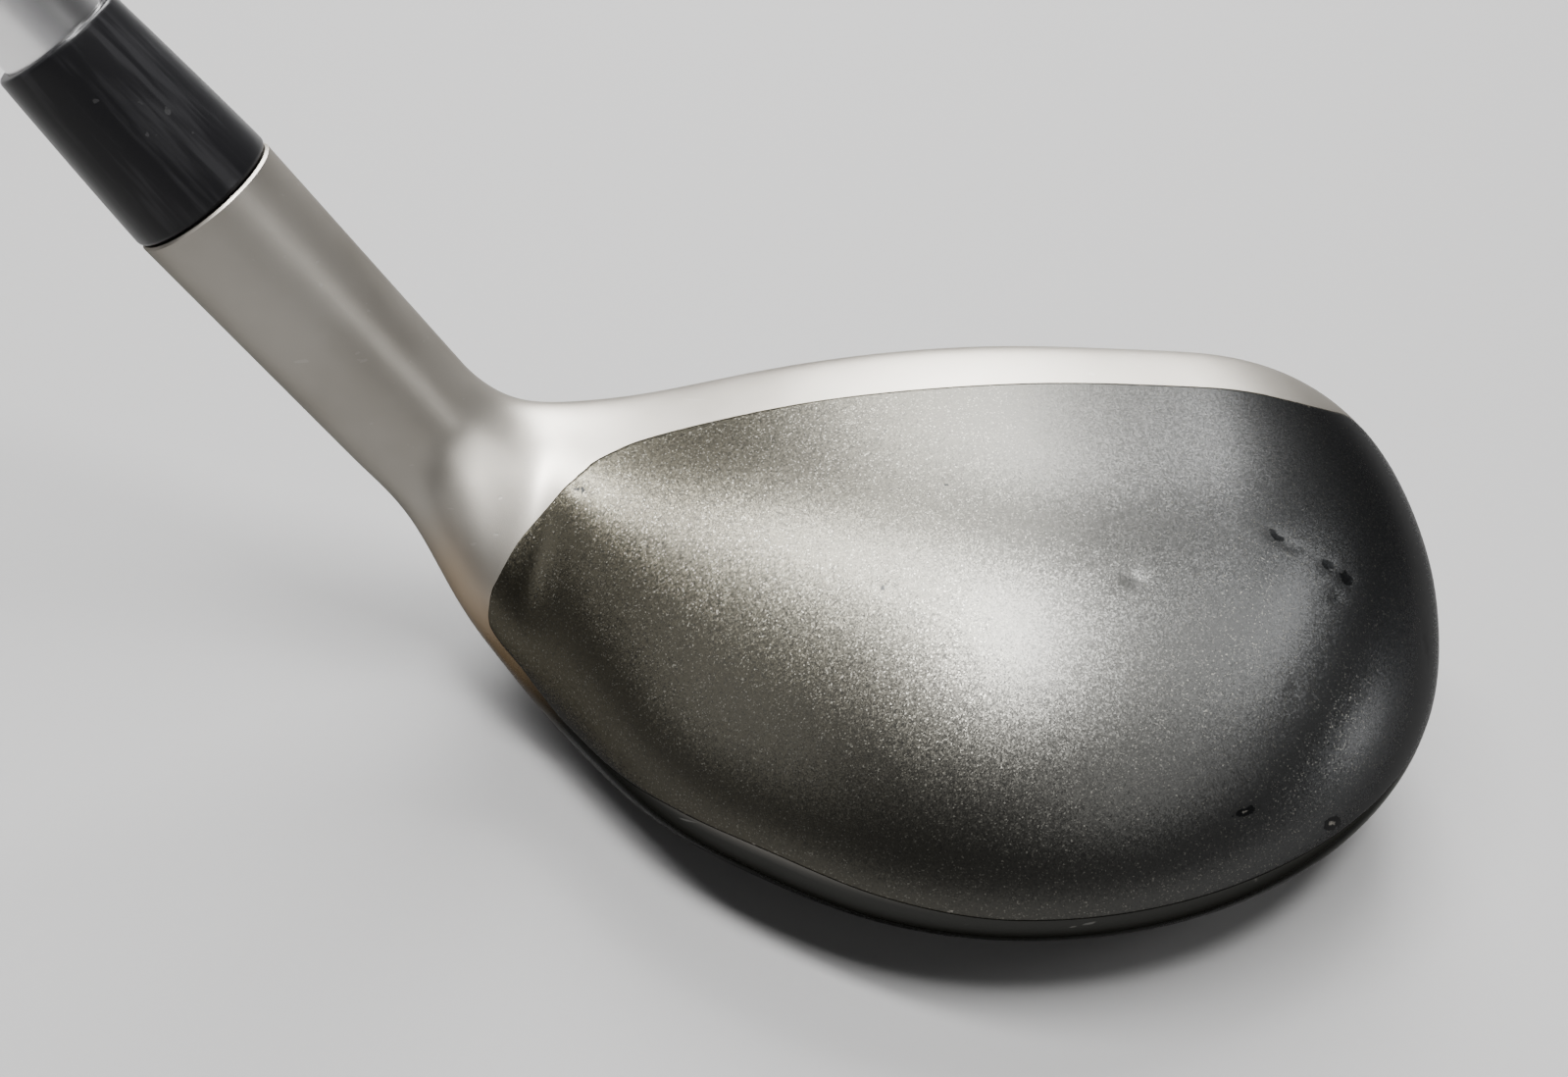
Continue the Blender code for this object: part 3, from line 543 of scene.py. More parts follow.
head_stations = [*hosel_stations, *neck_stations, *crown_stations, *toe_stations]
rows = [body_row(station) for station in head_stations]
mouth = on_axis(HOSEL_TOP, 0)
first = mouth + (rows[0][0] - on_axis(HOSEL_TOP - HOSEL_CHAMFER, 0)) * (1 - HOSEL_CHAMFER / HOSEL_RADIUS)
points = np.concatenate([first, *[row for row, _ in rows], [mouth], skin(90, [0.0])])
points[:, 2] = np.maximum(points[:, 2], 0.0)
sides = np.concatenate([rows[0][1], *[side for _, side in rows], [0.0, 0.0]]) % SIDE_COUNT
stations = np.repeat([head_stations[0], *head_stations], ROW_POINTS)
stations = np.concatenate([stations, [head_stations[0], 90.0]])


in_head = swell(stations, -34, -14)
buffed_here = swell(sides, 5.6, 6.6) * (1 - swell(sides, 11.6, 12.4)) * in_head
frame_here = swell(sides, 12.2, 12.7) * (1 - swell(sides, 15.4, 15.8)) * swell(stations, -20, 4)
# Where the skirt's painted dark reflection lies.
painted_dark_reflection_here = swell(sides, 5.7, 6.1) * (1 - swell(sides, 7.2, 8.2)) * swell(stations, -26, -14)
tarnish_here = swell(sides, 5.0, 6.4) * (1 - swell(sides, 7.5, 9.5))
tarnish_here *= swell(stations, -46, -26) * (1 - swell(stations, -18, 0))
head = made(
    "head_casting",
    points,
    tube_faces(len(rows) + 1, ROW_POINTS),
    cast_steel.material,
    {"buffed": buffed_here, "face_frame": frame_here, "tarnish": tarnish_here, "painted_dark_reflection": painted_dark_reflection_here},
    sharp=35,
)
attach(head, "root")
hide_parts("head_body")

# ========================================
# The face plate: a forged steel insert ground flush with the casting, with straight score lines milled
# across its middle. The casting's closed skin lies just under its surface, so that skin is what shows
# in the score lines.
# ========================================

FACE_HEEL = 9.0
FACE_TOE = 66.0
FACE_LOW = 12.85
FACE_HIGH = 15.2
FACE_PROUD = 0.03
SCORE_LINES = 6
SCORE_PITCH = 3.6
SCORE_WIDTH = 0.9
SCORE_DEPTH = 0.4
SCORE_FROM = 21.0
SCORE_TO = 51.0

face_middle = (FACE_LOW + FACE_HIGH) / 2
face_centre = (FACE_HEEL + FACE_TOE) / 2
face_reach = (FACE_TOE - FACE_HEEL) / 2
face_speed = outward(35.0, [face_middle])[2][0]
face_half = (FACE_HIGH - FACE_LOW) / 2

face_steel = Finish("face_steel", (0.28, 0.27, 0.26), Roughness=0.34, Metallic=1.0)
face_steel.set(Specular_Tint=(0.35, 0.35, 0.35))
score = face_steel.attribute("score")
grind = face_steel.noise(1.0, 3.0, 0.6, face_steel.stretched((6500, 500, 200)))
cloud = face_steel.noise(110, 3.0, 0.5)
ball_marks = face_steel.noise(240, 4.0, 0.7).over(0.60, 0.75)
colour = face_steel.mix(cloud.over(0.3, 0.7), (0.25, 0.245, 0.235), (0.33, 0.325, 0.31))
colour = face_steel.mix(ball_marks * 0.35, colour, (0.18, 0.175, 0.165))
# The score lines and their walls are coloured near-black: painted shade in the grooves.
colour = face_steel.mix(score.over(0.0, 0.2) * 0.92, colour, (0.012, 0.012, 0.012))
face_steel.set(
    Base_Color=colour,
    Roughness=0.32 + 0.16 * (grind - 0.5) + 0.12 * ball_marks + 0.2 * score,
    Normal=face_steel.bump(grind, 0.000015, 0.7),
)

# Rows run from the plate's foot up, closer together across each score line.
# The plate's height over the skin, in millimetres. Shares below are shares of it.
face_climb = 2 * face_half * face_speed
half_width = SCORE_WIDTH / 2 / face_climb
middles = [0.5 + (line - (SCORE_LINES - 1) / 2) * SCORE_PITCH / face_climb for line in range(SCORE_LINES)]
shares = list(np.linspace(0, 1, 46))
for middle in middles:
    shares = [share for share in shares if abs(share - middle) > half_width * 1.3]
    shares += [middle + half_width * offset for offset in (-1.15, -1.0, -0.55, 0.0, 0.55, 1.0, 1.15)]
shares = np.array(sorted(shares))
floor = np.zeros(len(shares))
for middle in middles:
    away = np.abs(shares - middle) / half_width
    floor = np.maximum(floor, np.clip((1.02 - away) / 0.45, 0, 1))

face_stations = face_centre + face_reach * np.sin(np.linspace(-0.5 * math.pi, 0.5 * math.pi, 150))
top_rows = []
foot_rows = []
score_here = []
for station in face_stations:
    along = max(0.0, (abs(station - face_centre) / face_reach - 0.62) / 0.38)
    half = face_half * (0.35 + 0.65 * max(0.0, 1 - along**2.4) ** 0.5)
    side = face_middle + half * (2 * shares - 1)
    cut = swell(station, SCORE_FROM, SCORE_FROM + 0.8) * (1 - swell(station, SCORE_TO - 0.8, SCORE_TO))
    top_rows.append(lifted(station, side, FACE_PROUD - SCORE_DEPTH * floor * cut))
    foot_rows.append(lifted(station, side, np.full(len(side), -1.2)))
    score_here.append(floor * cut)


def plate_faces(rows, columns):
    """The top and the underside of one grid, joined round the edge."""
    faces = []
    under = rows * columns
    for i in range(rows - 1):
        for j in range(columns - 1):
            a = i * columns + j
            faces.append((a, a + 1, a + columns + 1, a + columns))
            faces.append((under + a, under + a + columns, under + a + columns + 1, under + a + 1))
    edge = list(range(columns))
    edge += [i * columns + columns - 1 for i in range(1, rows)]
    edge += [(rows - 1) * columns + j for j in range(columns - 2, -1, -1)]
    edge += [i * columns for i in range(rows - 2, 0, -1)]
    for a, b in zip(edge, edge[1:] + edge[:1]):
        faces.append((a, b, under + b, under + a))
    return faces


face = made(
    "striking_face",
    np.concatenate(top_rows + foot_rows),
    plate_faces(len(face_stations), len(shares)),
    face_steel.material,
    {"score": np.concatenate([*score_here, np.zeros(len(face_stations) * len(shares))])},
    sharp=30,
)
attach(face, "root")
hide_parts("face_plate")

# ========================================
# The crown: a thin steel plate bonded into its seat, sprayed with charcoal metallic paint and a satin
# clear coat. Bag chatter has dented it and chipped the paint, most of all near the toe and the edges.
# ========================================

CROWN_THICKNESS = 0.8
CROWN_PROUD = 0.03
# Each mark is x, y in millimetres from the rest point, length, width, turn in degrees, depth, bareness.
MARKS = (
    (12.1, -25.8, 0.75, 0.55, 0, 0.10, 0.32),
    (25.1, -21.4, 1.0, 0.42, -40, 0.08, 0.58),
    (26.6, -22.2, 0.55, 0.45, -20, 0.06, 0.30),
    (29.5, -23.3, 0.75, 0.50, 20, 0.07, 0.60),
    (31.2, -24.0, 0.75, 0.60, 10, 0.08, 0.61),
    (30.3, -23.8, 2.2, 0.9, 15, 0.01, 0.24),
    (29.9, -25.8, 0.50, 0.70, 20, 0.06, 0.40),
    (-3.3, -16.8, 0.40, 0.30, 0, 0.05, 0.60),
    (-36.7, -11.2, 0.85, 0.45, -35, 0.07, 0.45),
    (25.1, -33.7, 0.60, 1.25, -10, 0.04, 0.34),
    (20.4, -41.7, 1.1, 0.25, 20, 0.03, 0.75),
    (29.0, -40.1, 1.1, 0.25, 25, 0.03, 0.75),
    (39.9, -25.2, 0.45, 1.3, 20, 0.04, 0.60),
    (-9.3, -25.6, 0.5, 0.4, 60, 0.06, 0.45),
)

crown_paint = Finish("crown_paint", (0.15, 0.15, 0.14), Metallic=1.0, Coat_Roughness=0.3)
crown_paint.set(Specular_Tint=(0.10, 0.10, 0.10))
rim = crown_paint.attribute("rim")
mark = crown_paint.attribute("mark")
flakes = crown_paint.cells(9000)
flake_pick = crown_paint.reading(crown_paint.node("ShaderNodeSeparateColor", None, {"Color": flakes}), "Red")
fine = crown_paint.noise(5200, 2.0, 0.6)
drift = crown_paint.noise(26, 2.0, 0.5)
grit = crown_paint.noise(1500, 3.0, 0.65)
place = crown_paint.node("ShaderNodeSeparateXYZ", None, {"Vector": crown_paint.place})
# The paint runs from warm at the heel to cool at the toe: a painted tint of the light, not of the paint
# itself.
light_tint_towards_toe = crown_paint.reading(place, "X").over(-0.05, 0.05)
base = crown_paint.mix(light_tint_towards_toe, (0.049, 0.044, 0.030), (0.0365, 0.0385, 0.0415))
base = crown_paint.mix(drift.over(0.3, 0.7) * 0.25, base, (0.030, 0.029, 0.027))
sparkle = flake_pick.over(0.86, 1.0) * fine.over(0.35, 0.6)
base = crown_paint.mix(sparkle * 0.6, base, (0.17, 0.165, 0.145))
base = crown_paint.mix(flake_pick.over(0.22, 0.0) * 0.5, base, (0.021, 0.021, 0.020))
bare = (mark + (grit - 0.5) * 0.5).over(0.62, 0.72)
ring = (mark + (grit - 0.5) * 0.75).over(0.27, 0.36) - bare
rim_wear = (rim * 0.62 + (crown_paint.noise(900, 4.0, 0.7) - 0.5) * 1.15).over(0.74, 0.80)
rim_line = rim.over(0.93, 0.99)
bare = bare.larger(rim_wear)
base = crown_paint.mix(ring * 0.92, base, (0.0025, 0.003, 0.0035))
base = crown_paint.mix(rim_line * 0.8, base, (0.06, 0.052, 0.03))
base = crown_paint.mix(bare, base, (0.20, 0.19, 0.17))
tilt = crown_paint.vector("SUBTRACT", flakes, (0.5, 0.5, 0.5))[0]
tilt = crown_paint.vector("SCALE", tilt, Scale=0.14)[0]
orange_peel = crown_paint.bump(crown_paint.noise(900, 2.0, 0.5) + bare * -2.0, 0.00002, 0.15)
tilt = crown_paint.vector("NORMALIZE", crown_paint.vector("ADD", tilt, orange_peel)[0])[0]
crown_paint.set(
    Base_Color=base,
    Roughness=0.31 + 0.08 * (drift - 0.5) + 0.08 * (fine - 0.5),
    Coat_Weight=0.2 - 0.2 * bare,
    Normal=tilt,
)

CROWN_COLUMNS = 150
edge_shares = np.array([0.0, 0.03, 0.09, 0.2, 0.45, 1.0])
crown_roots = np.linspace(0.12, crown_reach, 250)
top_rows = []
foot_rows = []
normal_rows = []
rim_here = []
for root in crown_roots:
    station = CROWN_TIP + root * root
    front, back = crown_edges(station)
    speed = outward(station, [front, back])[2]
    inset = np.minimum(0.5 / speed, (back - front) * 0.12)
    side = np.concatenate(
        [
            front + inset[0] * edge_shares[:-1],
            np.linspace(front + inset[0], back - inset[1], CROWN_COLUMNS),
            back - inset[1] * edge_shares[-2::-1],
        ]
    )
    from_edge = np.minimum((side - front) * speed[0], (back - side) * speed[1])
    from_tip = (station - CROWN_TIP) * outward(station, [CROWN_FRONT[0][1]])[1][0]
    from_edge = np.minimum(from_edge, max(from_tip, 0.0))
    drop = 0.10 * (1 - swell(from_edge, 0.0, 0.14))
    normal_rows.append(outward(station, side)[0])
    top_rows.append(lifted(station, side, CROWN_PROUD - drop))
    foot_rows.append(lifted(station, side, np.full(len(side), -CROWN_THICKNESS)))
    rim_here.append(1 - np.clip(from_edge / 3.0, 0, 1))
top = np.concatenate(top_rows)
top_normals = np.concatenate(normal_rows)
marked = np.zeros(len(top))
for x, y, length, width, turn, depth, bareness in MARKS:
    away = top[:, :2] - (x + REST[0], y + REST[1])
    cosine = math.cos(math.radians(turn))
    sine = math.sin(math.radians(turn))
    along = (away[:, 0] * cosine + away[:, 1] * sine) / length
    across = (away[:, 1] * cosine - away[:, 0] * sine) / width
    near = np.exp(-(along**2 + across**2))
    top -= top_normals * (depth * near)[:, None]
    marked = np.maximum(marked, bareness * near)
blank = np.zeros(len(marked))
crown = made(
    "crown",
    np.concatenate([top, *foot_rows]),
    plate_faces(len(crown_roots), len(rim_here[0])),
    crown_paint.material,
    {"rim": np.concatenate([*rim_here, blank]), "mark": np.concatenate([marked, blank])},
    sharp=50,
)
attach(crown, "root")
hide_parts("crown_plate")

# ========================================
# The weight screw: a turned steel slug with a hexagon socket. It keeps the solid model's shape, and
# the casting's skin is closed below it, so it can't be seen from outside.
# ========================================

screw_steel = Finish("screw_steel", (0.42, 0.42, 0.42), Roughness=0.3, Metallic=1.0)
low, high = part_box("weight_screw")
screw_centre = (low + high) / 2
from_centre = screw_steel.vector("SUBTRACT", screw_steel.place, (screw_centre.x, screw_centre.y, 0.0))[0]
across = screw_steel.vector("MULTIPLY", from_centre, (1, 1, 0))[0]
radius = Reading(screw_steel.tree, screw_steel.vector("LENGTH", across)["Value"])
turning = (radius * 42000).sine()
dirt = screw_steel.noise(900, 3.0, 0.6)
screw_steel.set(
    Base_Color=screw_steel.mix(dirt.over(0.45, 0.7), (0.46, 0.46, 0.45), (0.22, 0.21, 0.19)),
    Roughness=0.26 + 0.18 * dirt,
    Normal=screw_steel.bump(turning * 0.5 + dirt, 0.00001, 0.6),
)
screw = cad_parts["weight_screw"]
screw.data.materials.clear()
screw.data.materials.append(screw_steel.material)

# ========================================
# What is shut inside: resin poured on the sole, a nylon plug at the bore's floor, a brass pin in the
# shaft's tip, the glue between shaft and bore, and the tape under the grip.
# ========================================

# Each row is a light and a dark colour, roughness, metal and the mottle's scale.
INSIDE = {
    "damping_resin": ((0.74, 0.68, 0.50), (0.62, 0.54, 0.36), 0.45, 0.0, 300),
    "tip_plug": ((0.82, 0.81, 0.77), (0.72, 0.71, 0.66), 0.5, 0.0, 700),
    "tip_weight": ((0.74, 0.57, 0.28), (0.55, 0.40, 0.18), 0.3, 1.0, 900),
    "bonding_epoxy": ((0.68, 0.60, 0.38), (0.52, 0.44, 0.24), 0.35, 0.0, 500),
    "grip_tape": ((0.84, 0.80, 0.68), (0.70, 0.65, 0.52), 0.8, 0.0, 1500),
}
for name, (light, dark, rough, metal, scale) in INSIDE.items():
    inside = Finish(name + "_finish", light, Roughness=rough, Metallic=metal)
    mottle = inside.noise(scale, 4.0, 0.6)
    inside.set(
        Base_Color=inside.mix(mottle.over(0.35, 0.7), light, dark),
        Roughness=rough + 0.2 * (mottle - 0.5),
        Normal=inside.bump(mottle, 0.00004, 0.6),
    )
    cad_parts[name].data.materials.clear()
    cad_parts[name].data.materials.append(inside.material)

# ========================================
# The ferrule: a cellulose collar slid down the shaft against the hosel, turned flush with it and
# buffed with solvent, which leaves soft lengthwise streaks in its gloss and bumps. The paler
# streaks in its colour are a painted reflection.
# ========================================

FERRULE_FOOT = HOSEL_TOP + 0.12
FERRULE_LENGTH = 16.0
FERRULE_BORE = 4.74
FERRULE_TOP_RADIUS = 5.64
FERRULE_CHAMFER = 0.5
ROUND_POINTS = 128


def turned(name, profile, material, values=None, sharp=35):
    """A profile of (distance, radius) turned round the shaft axis into a closed ring."""
    turns = np.linspace(0, 2 * math.pi, ROUND_POINTS, endpoint=False)
    points = [on_axis(along, radius, turn) for along, radius in profile for turn in turns]
    faces = []
    for i in range(len(profile)):
        k = (i + 1) % len(profile)
        for j in range(ROUND_POINTS):
            m = (j + 1) % ROUND_POINTS
            a = i * ROUND_POINTS
            b = k * ROUND_POINTS
            faces.append((a + j, a + m, b + m, b + j))
    numbers = {label: np.repeat(given, ROUND_POINTS) for label, given in (values or {}).items()}
    return made(name, points, faces, material, numbers, sharp)


ferrule_black = Finish("ferrule_black", (0.005, 0.005, 0.0055), Coat_Weight=0.04, Coat_Roughness=0.15)
ferrule_black.set(Specular_IOR_Level=0.13)
LEAN = (0.0, math.pi / 2 - LIE_ANGLE, 0.0)
streaks_and_painted_reflection = ferrule_black.noise(1.0, 3.0, 0.55, ferrule_black.stretched((900, 900, 40), LEAN))
smear = ferrule_black.noise(260, 3.0, 0.6)
dings = ferrule_black.noise(700, 2.0, 0.5).over(0.735, 0.76)
# The paler streaks in the colour are a painted reflection of a light.
ferrule_colour = ferrule_black.mix(streaks_and_painted_reflection.over(0.45, 0.65), (0.004, 0.004, 0.0045), (0.010, 0.010, 0.0108))
ferrule_black.set(
    Base_Color=ferrule_black.mix(dings * 0.25, ferrule_colour, (0.05, 0.05, 0.05)),
    Roughness=0.27 + 0.14 * streaks_and_painted_reflection + 0.10 * (smear - 0.5),
    Normal=ferrule_black.bump(streaks_and_painted_reflection * 0.7 + dings * -1.5 + smear * 0.2, 0.000012, 0.35),
)

profile = [(FERRULE_FOOT, FERRULE_BORE), (FERRULE_FOOT, HOSEL_RADIUS - FERRULE_CHAMFER)]
for turn in np.linspace(0, math.pi / 2, 6)[1:]:
    radius = HOSEL_RADIUS - FERRULE_CHAMFER * (1 - math.sin(turn))
    profile.append((FERRULE_FOOT + FERRULE_CHAMFER * (1 - math.cos(turn)), radius))
for share in np.linspace(0, 1, 20)[1:]:
    along = FERRULE_FOOT + FERRULE_CHAMFER + (FERRULE_LENGTH - FERRULE_CHAMFER - 0.4) * share
    profile.append((along, HOSEL_RADIUS - (HOSEL_RADIUS - FERRULE_TOP_RADIUS) * share**1.1))
for turn in np.linspace(0, math.pi / 2, 5)[1:]:
    along = FERRULE_FOOT + FERRULE_LENGTH - 0.4 * (1 - math.sin(turn))
    profile.append((along, FERRULE_TOP_RADIUS - 0.3 * (1 - math.cos(turn))))
profile.append((FERRULE_FOOT + FERRULE_LENGTH, FERRULE_BORE))
ferrule = turned("ferrule_collar", profile, ferrule_black.material)
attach(ferrule, "root")
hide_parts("ferrule")

# ========================================
# The shaft: a seamless steel tube drawn down in fifteen steps from butt to tip, then bright plated.
# Its rule is the same step again and again, so Geometry Nodes draw it along the axis. Only its
# outside is built, closed at both ends.
# ========================================

CLUB_LENGTH = 1016.0
TIP_RADIUS = 4.7
BUTT_RADIUS = 7.62
TIP_START = HOSEL_TOP - 28.4
BUTT_END = CLUB_LENGTH - 4.3
MOUTH_AT = CLUB_LENGTH - 267.0
STEP_COUNT = 15
STEP_RAMP = 1.6
FIRST_STEP = TIP_START + 200.0
LAST_STEP = MOUTH_AT - 16.0
STEP_PITCH = (LAST_STEP - STEP_RAMP - FIRST_STEP) / (STEP_COUNT - 1)
STEP_RISE = (BUTT_RADIUS - TIP_RADIUS) / STEP_COUNT

chrome = Finish("shaft_chrome", (0.74, 0.74, 0.75), Roughness=0.1, Metallic=1.0)
rings = chrome.noise(1.0, 2.0, 0.5, chrome.stretched((60, 60, 2600), LEAN))
film = chrome.noise(45, 3.0, 0.55)
rub = chrome.noise(1.0, 3.0, 0.6, chrome.stretched((900, 900, 30), LEAN)).over(0.6, 0.75)
pits = chrome.noise(1400, 1.0, 0.5).over(0.80, 0.83)
plating = chrome.mix(film.over(0.3, 0.7), (0.70, 0.70, 0.71), (0.80, 0.79, 0.78))
chrome.set(
    Base_Color=chrome.mix(pits * 0.7, plating, (0.20, 0.18, 0.15)),
    Roughness=0.17 + 0.10 * film + 0.05 * rub + 0.3 * pits,
    Normal=chrome.bump(rings * 0.4 + rub * 0.2 - pits, 0.000004, 0.4),
)


class Graph:
    """A Geometry Nodes tree with named inputs."""

    def __init__(self, name, inputs):
        self.tree = bpy.data.node_groups.new(name, "GeometryNodeTree")
        self.tree.interface.new_socket("Geometry", in_out="OUTPUT", socket_type="NodeSocketGeometry")
        self.names = {}
        for label, kind in inputs.items():
            socket = self.tree.interface.new_socket(label, in_out="INPUT", socket_type=kind)
            self.names[label] = socket.identifier
        self.inputs = self.tree.nodes.new("NodeGroupInput").outputs
        self.result = self.tree.nodes.new("NodeGroupOutput").inputs[0]

    def node(self, kind, settings=None, sockets=None):
        return add_node(self.tree, kind, settings, sockets)

    def number(self, label):
        return Reading(self.tree, self.inputs[label])

    def close(self, geometry, material):
        """Ends the tree in plain geometry with its finish."""
        real = self.node("GeometryNodeRealizeInstances", None, {"Geometry": geometry})
        dress = {"Geometry": real.outputs[0], "Material": material}
        dressed = self.node("GeometryNodeSetMaterial", None, dress)
        smooth = self.node("GeometryNodeSetShadeSmooth", None, {"Geometry": dressed.outputs[0]})
        self.tree.links.new(smooth.outputs[0], self.result)

    def run(self, name, mesh, values):
        """The tree's result on a mesh, as a plain mesh object."""
        seed = bpy.data.objects.new(name + "_seed", mesh)
        bpy.context.scene.collection.objects.link(seed)
        modifier = seed.modifiers.new("rule", "NODES")
        modifier.node_group = self.tree
        for label, value in values.items():
            modifier[self.names[label]] = value
        evaluated = seed.evaluated_get(bpy.context.evaluated_depsgraph_get())
        result = bpy.data.meshes.new_from_object(evaluated)
        bpy.data.objects.remove(seed)
        piece = bpy.data.objects.new(name, result)
        bpy.context.scene.collection.objects.link(piece)
        return piece


rule = Graph(
    "stepped_tube",
    {
        "Foot": "NodeSocketVector",
        "Head": "NodeSocketVector",
        "Tip Radius": "NodeSocketFloat",
        "Step Rise": "NodeSocketFloat",
        "First Step": "NodeSocketFloat",
        "Step Pitch": "NodeSocketFloat",
        "Step Ramp": "NodeSocketFloat",
        "Steps": "NodeSocketFloat",
        "Spacing": "NodeSocketFloat",
    },
)
ends = {"Start": rule.inputs["Foot"], "End": rule.inputs["Head"]}
line = rule.node("GeometryNodeCurvePrimitiveLine", None, ends)
fine_line = rule.node(
    "GeometryNodeResampleCurve",
    {"mode": "LENGTH"},
    {"Curve": line.outputs[0], "Length": rule.inputs["Spacing"]},
)
along = Reading(rule.tree, rule.node("GeometryNodeSplineParameter").outputs["Length"])
steps = (along - rule.number("First Step")) / rule.number("Step Pitch")
into_step = (steps - steps.whole()) * rule.number("Step Pitch")
ramp = (into_step / rule.number("Step Ramp")).smaller(1.0)
done = (steps.whole() + ramp).larger(0.0).smaller(rule.number("Steps"))
radius = rule.number("Tip Radius") + done * rule.number("Step Rise")
circle = rule.node("GeometryNodeCurvePrimitiveCircle", {"mode": "RADIUS"}, {"Resolution": 64, "Radius": 1.0})
tube = rule.node(
    "GeometryNodeCurveToMesh",
    None,
    {"Curve": fine_line.outputs[0], "Profile Curve": circle.outputs[0], "Scale": radius, "Fill Caps": True},
)
rule.close(tube.outputs[0], chrome.material)
shaft = rule.run(
    "shaft_tube",
    bpy.data.meshes.new("empty"),
    {
        "Foot": ((on_axis(TIP_START, 0) - REST) * MM).tolist(),
        "Head": ((on_axis(BUTT_END, 0) - REST) * MM).tolist(),
        "Tip Radius": TIP_RADIUS * MM,
        "Step Rise": STEP_RISE * MM,
        "First Step": (FIRST_STEP - TIP_START) * MM,
        "Step Pitch": STEP_PITCH * MM,
        "Step Ramp": STEP_RAMP * MM,
        "Steps": float(STEP_COUNT),
        "Spacing": 0.8 * MM,
    },
)
shaft.data.set_sharp_from_angle(angle=math.radians(40))
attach(shaft, "root")
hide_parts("shaft")

# ========================================
# The shaft band: a plain dark film wrapped round the shaft in the last step under the grip, with a
# bright edge line at either end.
# ========================================

BAND_START = LAST_STEP - STEP_PITCH + 0.75
BAND_END = LAST_STEP - STEP_RAMP - 0.75
BAND_RADIUS = TIP_RADIUS + (STEP_COUNT - 1) * STEP_RISE + 0.04

band_film = Finish("band_film", (0.03, 0.03, 0.035), Roughness=0.28, Coat_Weight=0.6, Coat_Roughness=0.1)
line = band_film.attribute("line")
weave = band_film.noise(1.0, 2.0, 0.5, band_film.stretched((2600, 2600, 400), LEAN))
handling = band_film.noise(150, 4.0, 0.6)
film_colour = band_film.mix(weave.over(0.35, 0.7), (0.010, 0.0105, 0.012), (0.022, 0.0225, 0.025))
band_film.set(
    Base_Color=band_film.mix(line, film_colour, (0.36, 0.355, 0.34)),
    Metallic=line,
    Roughness=0.24 + 0.16 * handling,
    Normal=band_film.bump(weave * 0.5 + handling, 0.00001, 0.5),
)
profile = [(BAND_START, BAND_RADIUS)]
line_here = [0.0]
for along in [*np.arange(0, 4.2, 0.3), *np.arange(4.5, 27.5, 1.5), *np.arange(27.6, 32.1, 0.3)]:
    share = along / 32.0 * (BAND_END - BAND_START)
    profile.append((BAND_START + min(share, BAND_END - BAND_START), BAND_RADIUS + 0.08))
    line_here.append(float(1.1 < along < 2.3 or 29.7 < along < 30.9))
profile.append((BAND_END, BAND_RADIUS))
line_here.append(0.0)
band = turned("shaft_band_wrap", profile, band_film.material, {"line": np.array(line_here)})
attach(band, "root")
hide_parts("shaft_band")

# ========================================
# The grip: a moulded rubber sleeve pushed over wet tape, with a plain collar at its mouth and rings of
# small slanted pips down its length, and a cap with a vent hole at the butt.
# ========================================

SLEEVE_BORE = BUTT_RADIUS + 0.04 + 0.15 + 0.04
MOUTH_RADIUS = SLEEVE_BORE + 2.0
GRIP_BUTT_RADIUS = SLEEVE_BORE + 5.6
COLLAR = 12.0

grip_rubber = Finish("grip_rubber", (0.008, 0.008, 0.009), Roughness=0.7, Specular_IOR_Level=0.3)
pores = grip_rubber.noise(2600, 3.0, 0.65)
shine = grip_rubber.noise(38, 3.0, 0.55)
dust = grip_rubber.noise(420, 4.0, 0.7).over(0.58, 0.72)
rubber = grip_rubber.mix(shine.over(0.3, 0.7), (0.005, 0.005, 0.0055), (0.010, 0.010, 0.0105))
grip_rubber.set(
    Base_Color=grip_rubber.mix(dust * 0.35, rubber, (0.030, 0.028, 0.025)),
    Roughness=0.60 + 0.22 * (pores - 0.5) + 0.18 * shine,
    Normal=grip_rubber.bump(pores, 0.00006, 0.8),
)

# The sleeve tapers in two straight runs, then flares to the cap.
TREAD_FROM = COLLAR + 6.0
TREAD_BEND = 120.0
TREAD_TO = 246.0
BEND_RADIUS = MOUTH_RADIUS + 1.1
outline_at = (COLLAR + 2.0, TREAD_BEND, TREAD_TO, 251.0, 256.0, 260.0, 263.0)
outline_radius = (
    MOUTH_RADIUS + 0.15,
    BEND_RADIUS,
    GRIP_BUTT_RADIUS - 0.05,
    GRIP_BUTT_RADIUS + 0.1,
    GRIP_BUTT_RADIUS + 0.38,
    GRIP_BUTT_RADIUS + 0.55,
    GRIP_BUTT_RADIUS + 0.6,
)


def outline(along):
    return float(np.interp(along, outline_at, outline_radius))


profile = [(0.0, SLEEVE_BORE), (0.0, MOUTH_RADIUS - 0.9)]
for turn in np.linspace(0, math.pi / 2, 5)[1:]:
    profile.append((0.8 * (1 - math.cos(turn)), MOUTH_RADIUS - 0.9 + 0.9 * math.sin(turn)))
profile += [(share, MOUTH_RADIUS + 0.1 * share / COLLAR) for share in (4.0, 8.0, COLLAR - 0.2, COLLAR)]
profile += [(COLLAR + 0.4, MOUTH_RADIUS - 0.45), (COLLAR + 1.0, MOUTH_RADIUS - 0.5)]
profile += [(COLLAR + 1.6, MOUTH_RADIUS - 0.45), (COLLAR + 1.9, MOUTH_RADIUS + 0.1)]
profile += [(along, outline(along)) for along in np.linspace(COLLAR + 2.2, 262.4, 60)]
profile += [(262.7, GRIP_BUTT_RADIUS + 0.3), (262.7, SLEEVE_BORE)]
profile = [(MOUTH_AT + along, radius) for along, radius in profile]
sleeve = turned("grip_sleeve_rubber", profile, grip_rubber.material, sharp=50)
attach(sleeve, "root")
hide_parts("grip_sleeve")

